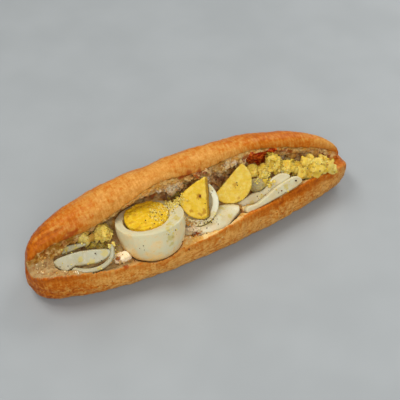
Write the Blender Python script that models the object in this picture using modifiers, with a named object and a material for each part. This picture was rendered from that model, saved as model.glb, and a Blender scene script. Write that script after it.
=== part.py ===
"""Egg sandwich: a long soft-crusted roll, slit along its front and laid open, filled with boiled egg.

Metres, +Z up.  X runs along the roll, the open mouth faces -Y and up, and the roll rests on the
flat of its bottom at Z = 0.  The origin is the middle of the whole sandwich's footprint.
"""
import math

import bmesh
import bpy
from mathutils import Matrix, Vector, noise

MM = 0.001
GAP = 0.3 * MM                # air left between pieces that touch
CORNER_GAP = 1.75 * GAP       # a corner moves this far for its faces to clear by the gap

CRUST = (0.56, 0.26, 0.06)
WHITE = (0.72, 0.70, 0.60)
YOLK = (0.75, 0.50, 0.05)
PALE_YOLK = (0.75, 0.62, 0.25)
CRUMB = (0.62, 0.48, 0.28)

# ---- Roll ----------------------------------------------------------------------------------
HEEL_LEFT, HEEL_RIGHT = -118.0, 118.0      # tips of the lower half along X
TOP_LEFT, TOP_RIGHT = -117.0, 113.0        # tips of the upper half along X
SECTIONS = 36                              # slices along each half
WALL_STEPS = 6                             # points on each curved wall of a slice
CUT_STEPS = 5                              # points across each cut face of a slice
END_ROUND = 5.0                            # each tip is rounded off over this length
TIP_SHARE = 0.004                          # the first slice is this share of a half's length in

# ---- Eggs ----------------------------------------------------------------------------------
EGG_RADIUS = 22.3             # a hen's egg is about 45 mm across
EGG_HALF_LENGTH = 28.0        # from the crosswise cut to the blunt end
EGG_FULLNESS = 0.38           # how much squarer than an ellipse its end is
YOLK_RADIUS = 14.4
SMALL_LUMP = 6.7              # broken yolk up to this radius is modelled with fewer faces

# The fillings face the open side of the roll: turned this far about Z, then tipped towards it.
SIDE_TURN = math.radians(-28)


def taper(x, left, right, tip_left, mid, tip_right, blunt_left=2.4, blunt_right=2.0):
    """A size that is mid at the middle of a half and rounds off to its tip value at each end."""
    centre = 0.5 * (left + right)
    along = (x - centre) / (0.5 * (right - left))
    tip, blunt = (tip_left, blunt_left) if along < 0 else (tip_right, blunt_right)
    return tip + (mid - tip) * math.sqrt(max(0.0, 1.0 - min(1.0, abs(along)) ** blunt))


def swell(x, where, reach, height):
    """A soft local hump, or a dent when height is negative."""
    return height * math.exp(-((x - where) / reach) ** 2)


def heel_taper(x, *sizes, **bluntness):
    return taper(x, HEEL_LEFT, HEEL_RIGHT, *sizes, **bluntness)


def top_taper(x, *sizes, **bluntness):
    return taper(x, TOP_LEFT, TOP_RIGHT, *sizes, **bluntness)


def bezier(p0, p1, p2, p3, steps):
    """Points along a cubic curve in the slice's plane, without its last one."""
    points = []
    for i in range(steps):
        t = i / steps
        weights = ((1 - t) ** 3, 3 * t * (1 - t) ** 2, 3 * t * t * (1 - t), t ** 3)
        points.append(tuple(sum(w * p[k] for w, p in zip(weights, (p0, p1, p2, p3)))
                            for k in (0, 1)))
    return points


def heel_slice(x):
    """Outline of the lower half at x, as (y, z) pairs: flat bottom, bulging sides, dished cut."""
    front = heel_taper(x, -4.0, -33.2, -7.0, blunt_left=3.1, blunt_right=1.38)
    back = heel_taper(x, 0.0, 31.5, 1.0, blunt_left=3.0, blunt_right=2.2)
    keel = heel_taper(x, 6.0, 0.0, 9.0, blunt_left=9.0, blunt_right=6.0)
    lip = heel_taper(x, 21.0, 23.0, 17.0, blunt_left=6.0, blunt_right=3.0)
    lip += swell(x, -100.0, 22.0, 5.0) + swell(x, 88.0, 26.0, 5.0) + swell(x, 20.0, 22.0, 3.5)
    inset = 2.0 + swell(x, 62.0, 34.0, 4.0) + swell(x, -80.0, 20.0, 1.5)
    width = back - front
    flat = 0.27 * width
    middle = 0.5 * (front + back)
    lip_front = front + inset * width / 64.0
    lip_back = back - 0.03 * width
    rise = lip - keel
    outline = bezier((middle - flat, keel), (front + 0.04 * width, keel),
                     (front - 0.03 * width, keel + 0.45 * rise), (lip_front, lip), WALL_STEPS)
    for i in range(CUT_STEPS):
        t = i / CUT_STEPS
        outline.append((lip_front + t * (lip_back - lip_front), lip - 0.14 * rise * math.sin(math.pi * t)))
    outline += bezier((lip_back, lip), (back + 0.03 * width, keel + 0.45 * rise),
                      (back - 0.04 * width, keel), (middle + flat, keel), WALL_STEPS)
    outline.append((middle + flat, keel))
    return outline


def top_slice(x):
    """Outline of the upper half at x: crust from its front lip over the crown to the hinge."""
    lip_y = top_taper(x, -4.0, 2.5, -7.5, blunt_left=1.7, blunt_right=2.8) + swell(x, -72.0, 26.0, -4.0)
    lip_z = top_taper(x, 27.0, 50.0, 22.0, blunt_left=1.75, blunt_right=2.2)
    lip_z += swell(x, -72.0, 30.0, -4.5) + swell(x, -24.0, 12.0, 3.0) + swell(x, 7.0, 12.0, -2.0)
    lip_z += swell(x, 44.0, 16.0, 3.0) + swell(x, 86.0, 14.0, -3.0)
    back = top_taper(x, 0.0, 33.0, -4.0, blunt_left=3.4, blunt_right=2.1)
    fold = top_taper(x, -5.0, 20.0, -6.0, blunt_left=1.7, blunt_right=2.6) + swell(x, -94.0, 20.0, -13.0)
    foot = top_taper(x, 17.0, 15.0, 17.0)
    crown = top_taper(x, 26.5, 62.0, 21.0, blunt_left=2.9, blunt_right=2.1) + swell(x, -26.0, 12.0, -3.0)
    crust = bezier((lip_y, lip_z), (lip_y - 1.0, lip_z + 0.8 * (crown - lip_z) + 4.0),
                   (back + 1.0, crown), (back, foot), 2 * WALL_STEPS)
    cut = bezier((fold, foot), (fold - 3.0, foot + 0.4 * (lip_z - foot)),
                 (lip_y + 0.3 * (fold - lip_y), lip_z - 0.3 * (lip_z - foot)), (lip_y, lip_z), CUT_STEPS)
    return crust + [(back, foot)] + cut


def new_piece(name, shape, colour, roughness):
    """An object of its own, in the sandwich's collection, with its own plain material."""
    mesh = bpy.data.meshes.new(name)
    shape.to_mesh(mesh)
    shape.free()
    mesh.shade_smooth()
    mesh.set_sharp_from_angle(angle=math.radians(40))
    finish = bpy.data.materials.new(name + "_finish")
    finish.use_nodes = True
    shader = finish.node_tree.nodes["Principled BSDF"]
    shader.inputs["Base Color"].default_value = (*colour, 1.0)
    shader.inputs["Roughness"].default_value = roughness
    mesh.materials.append(finish)
    piece = bpy.data.objects.new(name, mesh)
    bpy.data.collections["egg_sandwich"].objects.link(piece)
    return piece


def place(piece, at, tilt=0.0, lean=0.0, spin=0.0):
    """Stand a piece at a point in mm.  Its own Z tips towards the open side by tilt, leans to the
    right by lean, and the piece turns about it by spin, all in degrees."""
    piece.matrix_world = (Matrix.Translation(Vector(at) * MM)
                          @ Matrix.Rotation(SIDE_TURN, 4, "Z")
                          @ Matrix.Rotation(math.radians(tilt), 4, "X")
                          @ Matrix.Rotation(math.radians(lean), 4, "Y")
                          @ Matrix.Rotation(math.radians(spin), 4, "Z"))
    return piece


def as_cutter(cutter):
    """Keep an object for cutting only: out of the sandwich, unseen in a render."""
    for holder in list(cutter.users_collection):
        holder.objects.unlink(cutter)
    bpy.data.collections["cutters"].objects.link(cutter)
    cutter.hide_render = True
    cutter.display_type = "WIRE"
    return cutter


def fatter_copy(piece):
    """A copy of a finished piece, fatter by the gap, for pressing its shape into a neighbour."""
    bpy.context.view_layer.update()
    seen = piece.evaluated_get(bpy.context.evaluated_depsgraph_get())
    shape = bmesh.new()
    shape.from_mesh(bpy.data.meshes.new_from_object(seen))
    shape.normal_update()
    for vertex in shape.verts:
        vertex.co += vertex.normal * CORNER_GAP
    mesh = bpy.data.meshes.new(piece.name + "_cutter")
    shape.to_mesh(mesh)
    shape.free()
    copy = bpy.data.objects.new(mesh.name, mesh)
    copy.matrix_world = piece.matrix_world
    return as_cutter(copy)


def near(piece, other):
    """Whether the boxes round two pieces come within the gap of each other."""
    bpy.context.view_layer.update()
    low, high = [], []
    for each in (piece, other):
        corners = [each.matrix_world @ Vector(corner) for corner in each.bound_box]
        low.append([min(c[k] for c in corners) for k in range(3)])
        high.append([max(c[k] for c in corners) for k in range(3)])
    reach = 2 * CORNER_GAP
    return all(low[0][k] < high[1][k] + reach and low[1][k] < high[0][k] + reach for k in range(3))


def cut(piece, cutter, title, operation="DIFFERENCE"):
    """Cut a piece with another, or join the two."""
    change = piece.modifiers.new(title, "BOOLEAN")
    change.operation = operation
    change.object = cutter


def press(piece, into):
    """Press a piece into a softer one, leaving the gap all round."""
    cut(into, fatter_copy(piece), "nest_" + piece.name)


def face_outwards(shape):
    """Turn every face of a closed shape to look out of it."""
    bmesh.ops.recalc_face_normals(shape, faces=shape.faces)
    if shape.calc_volume(signed=True) < 0.0:
        bmesh.ops.reverse_faces(shape, faces=shape.faces)


def rounded_end(outline, to_tip):
    """Draw a slice in towards its middle where it is within END_ROUND of a tip."""
    inwards = 1.0 - min(1.0, to_tip / END_ROUND)
    share = math.sqrt(1.0 - inwards * inwards)
    middle = [sum(point[k] for point in outline) / len(outline) for k in (0, 1)]
    return [[middle[k] + share * (point[k] - middle[k]) for k in (0, 1)] for point in outline]


def loft(left, right, slice_at):
    """A closed body through SECTIONS slices, spaced closer towards the round ends."""
    shape = bmesh.new()
    middle, half = 0.5 * (left + right), 0.5 * (right - left)
    rings = []
    for i in range(SECTIONS + 1):
        x = middle - half * math.cos(math.pi * i / SECTIONS) * (1.0 - TIP_SHARE)
        outline = rounded_end(slice_at(x), half - abs(x - middle))
        rings.append([shape.verts.new((x * MM, y * MM, z * MM)) for y, z in outline])
    for near, far in zip(rings, rings[1:]):
        for k in range(len(near)):
            n = (k + 1) % len(near)
            shape.faces.new((near[k], near[n], far[n], far[k]))
    shape.faces.new(rings[0])
    shape.faces.new(rings[-1])
    bmesh.ops.triangulate(shape, faces=[f for f in shape.faces if len(f.verts) > 4])
    face_outwards(shape)
    return shape


def ball(radii, segments, rings):
    """An ellipsoid of three radii in mm.  With an odd number of rings, none lies at its middle, where
    a knife can then pass cleanly."""
    shape = bmesh.new()
    bmesh.ops.create_uvsphere(shape, u_segments=segments, v_segments=rings, radius=1.0)
    bmesh.ops.scale(shape, vec=Vector(radii) * MM, verts=shape.verts)
    return shape


def slice_off(shape, at, away):
    """Cut a shape with a knife at a point in mm and take off the side that away points to."""
    everything = shape.verts[:] + shape.edges[:] + shape.faces[:]
    cut = bmesh.ops.bisect_plane(shape, geom=everything, plane_co=Vector(at) * MM,
                                 plane_no=Vector(away), clear_outer=True)
    rim = [e for e in cut["geom_cut"] if isinstance(e, bmesh.types.BMEdge)]
    bmesh.ops.holes_fill(shape, edges=rim)
    face_outwards(shape)


def smooth_outline(corners, steps=2):
    """A rounded closed outline through its corner points, as a Catmull-Rom curve."""
    outline = []
    count = len(corners)
    for i in range(count):
        p0, p1, p2, p3 = (Vector(corners[(i + k - 1) % count]) for k in range(4))
        for j in range(steps):
            t = j / steps
            outline.append(0.5 * (2 * p1 + (p2 - p0) * t + (2 * p0 - 5 * p1 + 4 * p2 - p3) * t * t
                                  + (3 * p1 - p0 - 3 * p2 + p3) * t ** 3))
    return outline


def arc(radius_x, radius_y, start, end, steps):
    """Points of an elliptic arc, from one angle to another in degrees."""
    angles = [math.radians(start + (end - start) * i / steps) for i in range(steps + 1)]
    return [Vector((radius_x * math.cos(a), radius_y * math.sin(a))) for a in angles]


def slab(outline, thickness):
    """A flat slice: an outline in mm, extruded downwards from Z = 0 to its thickness."""
    shape = bmesh.new()
    face = shape.faces.new([shape.verts.new((p.x * MM, p.y * MM, 0.0)) for p in outline])
    grown = bmesh.ops.extrude_face_region(shape, geom=[face])
    lower = [v for v in grown["geom"] if isinstance(v, bmesh.types.BMVert)]
    bmesh.ops.translate(shape, vec=(0.0, 0.0, -thickness * MM), verts=lower)
    face_outwards(shape)
    return shape


def soften(piece, width):
    """Take a slice's sharp edges off a little, as boiled egg has none."""
    bevel = piece.modifiers.new("soft_edge", "BEVEL")
    bevel.width = width * MM
    bevel.segments = 1
    bevel.limit_method = "ANGLE"
    bevel.angle_limit = math.radians(50)


def lump(radii, roughness, seed, subdivisions=3):
    """A broken lump of yolk: a ball knocked into dents and corners by smooth noise."""
    shape = bmesh.new()
    bmesh.ops.create_icosphere(shape, subdivisions=subdivisions, radius=1.0)
    for vertex in shape.verts:
        spot = vertex.co * 1.3 + Vector((seed * 7.3, seed * 1.9, seed * 4.1))
        vertex.co *= 1.0 + roughness * noise.noise(spot) + 0.4 * roughness * noise.noise(spot * 2.7)
    bmesh.ops.scale(shape, vec=Vector(radii) * MM, verts=shape.verts)
    return shape


# ---- The pieces ----------------------------------------------------------------------------

def make_roll():
    """Both halves of the roll as one solid, joined along the back, where the knife stopped."""
    roll = new_piece("bread_roll", loft(HEEL_LEFT, HEEL_RIGHT, heel_slice), CRUST, 0.5)
    upper = new_piece("roll_upper_half", loft(TOP_LEFT, TOP_RIGHT, top_slice), CRUST, 0.5)
    cut(roll, as_cutter(upper), "hinge", "UNION")
    return roll


def make_egg_half():
    """The big half egg: cut crosswise, standing on its blunt end with the yolk still in it."""
    at, tilt, lean = (-37.2, -11.2, 39.9), -17.0, -8.0
    white_shape = ball((EGG_RADIUS, EGG_RADIUS, EGG_HALF_LENGTH), 28, 19)
    for vertex in white_shape.verts:
        depth = abs(vertex.co.z) / (EGG_HALF_LENGTH * MM)
        fuller = 1.0 + EGG_FULLNESS * depth * depth
        vertex.co.x *= fuller
        vertex.co.y *= fuller
    slice_off(white_shape, (0, 0, 0), (0, 0, 1))
    white = place(new_piece("egg_half_white", white_shape, WHITE, 0.35), at, tilt, lean)
    yolk_shape = ball((YOLK_RADIUS, YOLK_RADIUS * 1.2, YOLK_RADIUS), 24, 15)
    slice_off(yolk_shape, (0, 0, 0.9), (0, 0, 1))
    yolk = place(new_piece("egg_half_yolk", yolk_shape, YOLK, 0.6), at, tilt, lean)
    yolk.matrix_world = yolk.matrix_world @ Matrix.Translation(Vector((-2.0, 0.9, 0.0)) * MM)
    return [yolk, white]


def make_boat():
    """A hollow quarter of egg white, tipped up like a boat, with its wedge of yolk in it.  Its rim is
    open at the upper left, behind the wedge."""
    cup = ball((15.4, 15.4, 9.5), 24, 15)
    slice_off(cup, (0, 0, 0), (0, 0, 1))
    slice_off(cup, (-4.7, 6.9, 0), (-0.56, 0.83, 0))
    white = place(new_piece("boat_white", cup, WHITE, 0.35), (-4.2, -10.4, 35.8), 46)
    scoop = new_piece("boat_hollow", ball((11.0, 11.4, 6.5), 18, 12), WHITE, 0.35)
    cut(white, as_cutter(place(scoop, (-3.6, -10.6, 36.4), 46)), "hollow")
    corners = ((0.6, 13.0), (-1.2, 13.2), (-9.0, 8.6), (-15.2, 2.8), (-16.6, -1.5), (-14.6, -6.4),
               (-9.8, -10.8), (-3.4, -13.0), (1.0, -12.0), (2.0, -9.0))
    wedge = new_piece("boat_yolk", slab(smooth_outline(corners), 8.5), YOLK, 0.6)
    soften(wedge, 0.8)
    return [place(wedge, (-0.3, -15.2, 41.8), 46, -14), white]


def make_half_moon():
    """Half a round slice of yolk, leaning back with its flat face to the open side."""
    piece = new_piece("half_moon_yolk", slab(arc(14.6, 14.6, -188, 8, 18), 4.6), PALE_YOLK, 0.6)
    soften(piece, 0.6)
    return [place(piece, (24.4, -5.0, 37.4), 45, 0, 50)]


def make_middle_white():
    """The block of egg white under the boat, cut off square at its right end and flat at its front."""
    block = ball((23.0, 10.5, 8.5), 22, 12)
    slice_off(block, (18.2, 0, 0), (0.91, -0.41, 0))
    slice_off(block, (4.7, -8.0, 0.9), (0.5, -0.86, 0.1))
    return [place(new_piece("middle_white", block, WHITE, 0.35), (4.9, -19.6, 20.1), 30, 0, 24)]


def make_white_slices():
    """Slices of egg white at both ends of the mouth, each a flat, curved piece of its own."""
    slices = (
        ("right_ring_white", (47.2, -13.4, 28.8), 45, 10, 4.2,
         ((-19.2, -10.6), (-13.2, -6.7), (-8.6, -3.7), (-3.3, -2.4), (0.4, 0.6), (3.5, 5.2), (9, 9),
          (14, 9.4), (17.2, 7.5), (14.5, 4.9), (7.6, 0.4), (1.3, -5.4), (-6.9, -11), (-15.9, -13.1))),
        ("right_slab_white", (48.4, -21.3, 28.0), 45, 24, 4.2,
         ((-19.3, -7.9), (-13.0, -6.0), (-7.7, -2.9), (1.4, 4.4), (8.4, 8.7), (16.2, 12.6),
          (20.6, 12.0), (22.7, 9.6), (18.4, 6.0), (9.0, 1.1), (-0.4, -3.6), (-7.7, -7.2),
          (-18.5, -11.8))),
        ("left_thick_slice", (-85.5, -15.5, 29.2), 45, 0, 5.0,
         ((-17.8, -1.6), (-11.2, 2.2), (-1.2, 5.2), (14, 6.6), (18.6, 5.2), (14.6, 0.4), (8.4, -2.4),
          (-4, -4), (-8.8, -7.2), (-12.4, -6.8))),
        ("left_thin_slice", (-88.0, -4.8, 30.1), 45, -6, 3.6,
         ((-9.4, -0.6), (-2.5, 1.9), (6.2, 3.4), (9.4, 2.5), (5, 0.6), (-6.2, -3.7))),
    )
    made = []
    for name, at, tilt, lean, thickness, corners in slices:
        piece = new_piece(name, slab(smooth_outline(corners), thickness), WHITE, 0.35)
        soften(piece, 0.6)
        made.append(place(piece, at, tilt, lean))
    curve = arc(18.3, 13.0, -118, 24, 11) + arc(15.5, 10.0, 22, -116, 11)
    ring = new_piece("left_ring_slice", slab(curve, 5.5), WHITE, 0.35)
    soften(ring, 0.6)
    made.append(place(ring, (-82.6, -14.2, 33.2), 45))
    return made


def make_yolk_lumps():
    """Broken yolk: single lumps, and the crumbled heap at the right end as one uneven solid."""
    lumps = (
        ("yolk_lump_left_front", (-65.2, -1.0, 29.0), (6.6, 6.0, 6.6), 0.5, 1),
        ("yolk_lump_left_back", (-77.4, 1.0, 28.6), (5.8, 4.6, 4.8), 0.5, 2),
        ("yolk_lump_middle", (44.0, -1.6, 35.0), (4.4, 4.6, 4.4), 0.4, 3),
        ("yolk_skin_piece", (43.4, -8.4, 29.9), (5.6, 4.6, 6.2), 0.25, 4),
        ("yolk_lump_back_top", (59.4, -2.2, 38.0), (5.2, 4.6, 5.8), 0.7, 5),
        ("yolk_lump_back_left", (52.6, -3.6, 33.0), (5.4, 4.6, 4.6), 0.7, 7),
        ("yolk_lump_back_right", (64.6, -6.3, 33.0), (6.0, 4.8, 4.6), 0.7, 8),
        ("yolk_heap_right", (84.5, -10.5, 28.0), (14.5, 7.0, 6.8), 0.5, 6),
    )
    # Where a lump broke flat: a point of the break in mm, and the way the break looks.
    breaks = {
        "yolk_lump_middle": (((0, 0, 2.7), (0, -0.2, 1)), ((3.0, 0, 0), (1, -0.3, 0.1))),
        "yolk_skin_piece": (((0, 0, 2.6), (0.1, -0.3, 1)),),
        "yolk_lump_back_top": (((0, -2.6, 0), (-0.4, -1, 0.5)), ((0, 0, 4.2), (0.5, 0, 1))),
        "yolk_lump_back_left": (((0, -2.4, 1.0), (0.3, -1, 0.8)),),
        "yolk_lump_back_right": (((0, -2.4, 1.4), (-0.3, -0.7, 1)),),
    }
    made = []
    for name, at, radii, roughness, seed in lumps:
        detail = 3 if max(radii) > SMALL_LUMP else 2
        shape = lump(radii, roughness, seed, detail)
        for spot, away in breaks.get(name, ()):
            slice_off(shape, spot, away)
        made.append(place(new_piece(name, shape, PALE_YOLK, 0.7), at))
    return made


def make_crumb_block():
    """The small block of pale crumb that lies between the left slices and the big egg."""
    shape = bmesh.new()
    bmesh.ops.create_cube(shape, size=1.0)
    bmesh.ops.scale(shape, vec=Vector((11.0, 6.0, 5.5)) * MM, verts=shape.verts)
    piece = new_piece("crumb_block", shape, CRUMB, 0.8)
    soften(piece, 1.0)
    return [place(piece, (-61.4, -22.0, 25.6), 30, 0, 20)]


def centre_footprint(pieces):
    """Carry all pieces and cutters on one empty, moved so that the footprint's middle is at 0, 0."""
    carrier = bpy.data.objects.new("footprint_middle", None)
    bpy.data.collections["egg_sandwich"].objects.link(carrier)
    bpy.context.view_layer.update()
    depsgraph = bpy.context.evaluated_depsgraph_get()
    corners = []
    for piece in pieces:
        seen = piece.evaluated_get(depsgraph)
        corners += [seen.matrix_world @ vertex.co for vertex in seen.data.vertices]
    for each in bpy.data.objects:
        if each is not carrier:
            each.parent = carrier
    for k in (0, 1):
        along = [corner[k] for corner in corners]
        carrier.location[k] = -0.5 * (min(along) + max(along))


def build():
    for old in list(bpy.data.objects):
        bpy.data.objects.remove(old, do_unlink=True)
    for title in ("egg_sandwich", "cutters"):
        bpy.context.scene.collection.children.link(bpy.data.collections.new(title))
    # Firmest first: where two pieces meet, the earlier one is pressed into the later one.
    pieces = (make_egg_half() + make_boat() + make_half_moon() + make_middle_white()
              + make_white_slices() + make_yolk_lumps() + make_crumb_block() + [make_roll()])
    for i, piece in enumerate(pieces):
        for softer in pieces[i + 1:]:
            if near(piece, softer):
                press(piece, softer)
    centre_footprint(pieces)


build()
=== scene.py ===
# %% [markdown]
# # An egg sandwich, finish by finish
# A long soft-crusted roll lies on its side, slit along its upper front and laid open. Pieces of boiled
# egg, broken yolk, a spoonful of chilli sauce and ground pepper fill its mouth. The plain solids of the
# sandwich come in first, as a fixed frame. Each of them says where a piece is and how large it is. The
# steps below replace them, one by one, with a fine surface that looks like food.

# %% The frame
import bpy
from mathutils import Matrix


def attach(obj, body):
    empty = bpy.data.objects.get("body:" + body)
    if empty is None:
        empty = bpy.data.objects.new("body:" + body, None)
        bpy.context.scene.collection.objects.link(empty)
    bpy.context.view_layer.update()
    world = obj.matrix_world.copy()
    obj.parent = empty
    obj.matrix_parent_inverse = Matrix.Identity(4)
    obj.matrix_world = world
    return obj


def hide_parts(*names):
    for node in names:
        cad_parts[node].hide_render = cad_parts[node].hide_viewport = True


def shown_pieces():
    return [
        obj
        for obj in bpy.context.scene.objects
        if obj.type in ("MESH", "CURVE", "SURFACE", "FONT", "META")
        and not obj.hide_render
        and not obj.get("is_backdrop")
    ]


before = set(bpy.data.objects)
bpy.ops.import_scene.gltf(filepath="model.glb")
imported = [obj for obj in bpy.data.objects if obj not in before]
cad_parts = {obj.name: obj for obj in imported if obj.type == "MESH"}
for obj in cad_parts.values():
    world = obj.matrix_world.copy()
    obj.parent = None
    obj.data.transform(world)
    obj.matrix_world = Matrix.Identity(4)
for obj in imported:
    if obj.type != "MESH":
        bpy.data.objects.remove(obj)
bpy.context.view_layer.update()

# %% [markdown]
# Blender's own modules do the modelling, and numpy does the sums on thousands of points at once. Sizes on
# the sandwich are real sizes in millimetres, turned into metres by MM where Blender needs them. The lamps
# and the floor are large, so they are given in metres.

# %% Modules and units
import heapq
import math

import bmesh
import bpy
import numpy as np
from mathutils import Euler, Vector
from mathutils.bvhtree import BVHTree
from mathutils.kdtree import KDTree

MM = 0.001
SCENE = bpy.context.scene

# %% [markdown]
# ## The camera
# The roll is seen from its mouth side, 45 degrees above the floor and turned 28 degrees towards its left
# end. A camera could be placed by hand, but an angle, a distance and a point to look at are easier to
# read and to change. The picture is square, so a sensor 36 mm wide and the lens length set how much of
# the floor it takes in. Places in the picture are also used further on, to put small details on the food:
# a line of sight is sent through the place, and the piece that it meets first carries the detail.

# %% Camera
CAMERA_TURN = math.radians(-28)
CAMERA_RISE = math.radians(45)
CAMERA_DISTANCE = 620 * MM
CAMERA_TARGET = Vector((5, 1.4, 25)) * MM
LENS = 84.55
SENSOR = 36.0
NEAR_LIMIT = 10 * MM
PICTURE_SIZE = 400

to_camera = Vector((
    math.sin(CAMERA_TURN) * math.cos(CAMERA_RISE),
    -math.cos(CAMERA_TURN) * math.cos(CAMERA_RISE),
    math.sin(CAMERA_RISE),
))
camera = bpy.data.objects.new("camera", bpy.data.cameras.new("camera"))
camera.data.lens = LENS
camera.data.sensor_width = SENSOR
camera.data.clip_start = NEAR_LIMIT
camera.location = CAMERA_TARGET + to_camera * CAMERA_DISTANCE
camera.rotation_mode = "QUATERNION"
camera.rotation_quaternion = to_camera.to_track_quat("Z", "Y")
SCENE.collection.objects.link(camera)
SCENE.camera = camera
FOCAL = LENS / SENSOR * PICTURE_SIZE
camera_turn = camera.rotation_quaternion.to_matrix()
print("camera at", [round(side, 3) for side in camera.location])


def sight_line(across, down):
    """The direction in which the camera sees a place of the picture, given in pixels from its upper left."""
    return camera_turn @ Vector((across - PICTURE_SIZE / 2, PICTURE_SIZE / 2 - down, -FOCAL)).normalized()


def seen_at(across, down):
    """What the camera sees at a place of the picture: the point, the way it faces and the piece's name."""
    view = bpy.context.evaluated_depsgraph_get()
    found, point, facing, _, piece, _ = SCENE.ray_cast(view, camera.location, sight_line(across, down))
    return (np.array(point), np.array(facing), piece.name) if found else None


# %% [markdown]
# ## Light
# Soft daylight comes from above and behind the roll, a little from the left. It gives the crust its broad
# sheen and leaves the front of the lower half in half shade. One large lamp does that. A grey sky fills the
# shadows, as the walls of a bright room would. A second large lamp beside the camera reaches into the mouth,
# which would otherwise be much too dark to show its crumb, and a weaker third one lights the right end.

# %% Lamps and sky
LAMP_SIZE = 0.5
WARM_DAYLIGHT = (1.0, 0.985, 0.96)
SKY_COLOUR = (0.97, 0.985, 1.0, 1)
SKY_STRENGTH = 0.3


def lamp(name, place, power, colour=(1, 1, 1)):
    """A square soft lamp at a place in metres, turned to face the roll."""
    data = bpy.data.lights.new(name, "AREA")
    data.shape = "SQUARE"
    data.size = LAMP_SIZE
    data.energy = power
    data.color = colour
    made = bpy.data.objects.new(name, data)
    made.location = place
    made.rotation_mode = "QUATERNION"
    made.rotation_quaternion = (Vector(place) - CAMERA_TARGET).to_track_quat("Z", "Y")
    SCENE.collection.objects.link(made)


lamp("window", place=(-0.35, 0.3, 1.0), power=5.7, colour=WARM_DAYLIGHT)
lamp("front_fill", place=(-0.3, -0.8, 0.74), power=6.4)
lamp("right_fill", place=(0.7, 0.35, 0.6), power=3.4)
sky = bpy.data.worlds.new("sky")
sky.use_nodes = True
sky_glow = sky.node_tree.nodes["Background"].inputs
sky_glow["Color"].default_value = SKY_COLOUR
sky_glow["Strength"].default_value = SKY_STRENGTH
SCENE.world = sky
SCENE.view_settings.view_transform = "Standard"
print("lamps:", len(bpy.data.lights), "and a sky of strength", SKY_STRENGTH)

# %% [markdown]
# ## Noise to model with
# Food is uneven at every size. `cloud` gives soft swells: it draws a fixed random number at each corner of
# a grid and blends between them. `cells` measures how far a point is from many scattered centres, which
# gives bubbles and pores, and it tells which centre is nearest, which gives broken chips and faces.
# Blender has both as textures, but as plain sums on whole arrays they can move thousands of vertices at
# once, so that the relief is real geometry and not only shading. The numbers in a call are the size in mm
# and then a seed: another seed gives other swells of the same size.

# %% Swells and pores
def lattice(corner, seed):
    """A fixed random number from 0 to 1 for each whole-numbered corner of a grid."""
    mixed = corner[:, 0] * 73856093 ^ corner[:, 1] * 19349663 ^ corner[:, 2] * 83492791 ^ (seed + 1) * 2654435
    mixed = (mixed ^ (mixed >> 13)) * 1274126177
    return ((mixed ^ (mixed >> 16)) & 0xFFFFFF) / 0xFFFFFF


def cloud(points, size, seed, stretch=(1, 1, 1)):
    """Soft noise from -1 to 1 at each point. size is the width of a swell in mm, stretch makes it longer."""
    scaled = points / (np.array(stretch) * size * MM)
    corner = np.floor(scaled).astype(np.int64)
    share = scaled - corner
    share = share * share * (3 - 2 * share)
    total = np.zeros(len(points))
    for step in np.ndindex(2, 2, 2):
        weight = np.prod(np.where(step, share, 1 - share), axis=1)
        total += weight * lattice(corner + step, seed)
    return total * 2 - 1


def cells(points, size, seed):
    """For each point: how far the nearest and the second of scattered centres are, and the nearest's own
    random number and the way from it. The centres are size mm apart; distances are in units of size."""
    scaled = points / (size * MM)
    corner = np.floor(scaled).astype(np.int64)
    nearest, second, number = np.full((3, len(points)), 9.0)
    offset = np.zeros((len(points), 3))
    for step in np.ndindex(3, 3, 3):
        cell = corner + np.array(step) - 1
        centre = cell + np.stack([lattice(cell, seed + axis) for axis in range(3)], axis=1)
        distance = np.linalg.norm(centre - scaled, axis=1)
        second = np.minimum(second, np.maximum(nearest, distance))
        number = np.where(distance < nearest, lattice(cell, seed + 3), number)
        offset = np.where((distance < nearest)[:, None], scaled - centre, offset)
        nearest = np.minimum(nearest, distance)
    return nearest, second, number, offset


def ease(value, start, end):
    """0 before start, 1 after end, and a smooth step between them; end may be below start."""
    share = np.clip((np.asarray(value, float) - start) / (end - start), 0, 1)
    return share * share * (3 - 2 * share)


def chips(points, size, seed):
    """Broken chips about size mm wide: -1 to 1, nearly flat on each chip, with a narrow crack between two."""
    nearest, second, number, _ = cells(points, size, seed)
    crack = ease(second - nearest, 0.0, 0.16)
    return (number * 2 - 1) * crack - 0.5 * (1 - crack)


def breaks(points, size, seed):
    """Flat broken faces about size mm wide, each tilted its own way: about -0.6 to 0.6."""
    _, _, number, offset = cells(points, size, seed)
    turn = number * math.tau * 5
    return (offset * np.stack([np.cos(turn), np.sin(turn), np.cos(turn * 1.7)], axis=1)).sum(axis=1)


# %% [markdown]
# ## From a plain solid to a fine mesh
# A frame solid is a shell of long flat faces. A voxel remesh rebuilds it from small even squares, which can
# then be smoothed and moved. Subdividing the solid's own faces would keep their long thin shapes and would
# crease at the old edges. The copy leaves the frame itself untouched, rides on the same body and hides the
# solid it stands for.

# %% Mesh helpers
WELD_REACH = 0.01 * MM


def add_piece(name, mesh, slot, *nodes):
    """A visible piece of the sandwich that takes the place of the named frame solids."""
    piece = bpy.data.objects.new(name, mesh)
    SCENE.collection.objects.link(piece)
    mesh.shade_smooth()
    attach(piece, "root")
    if nodes:
        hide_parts(*nodes)
    return piece


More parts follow.
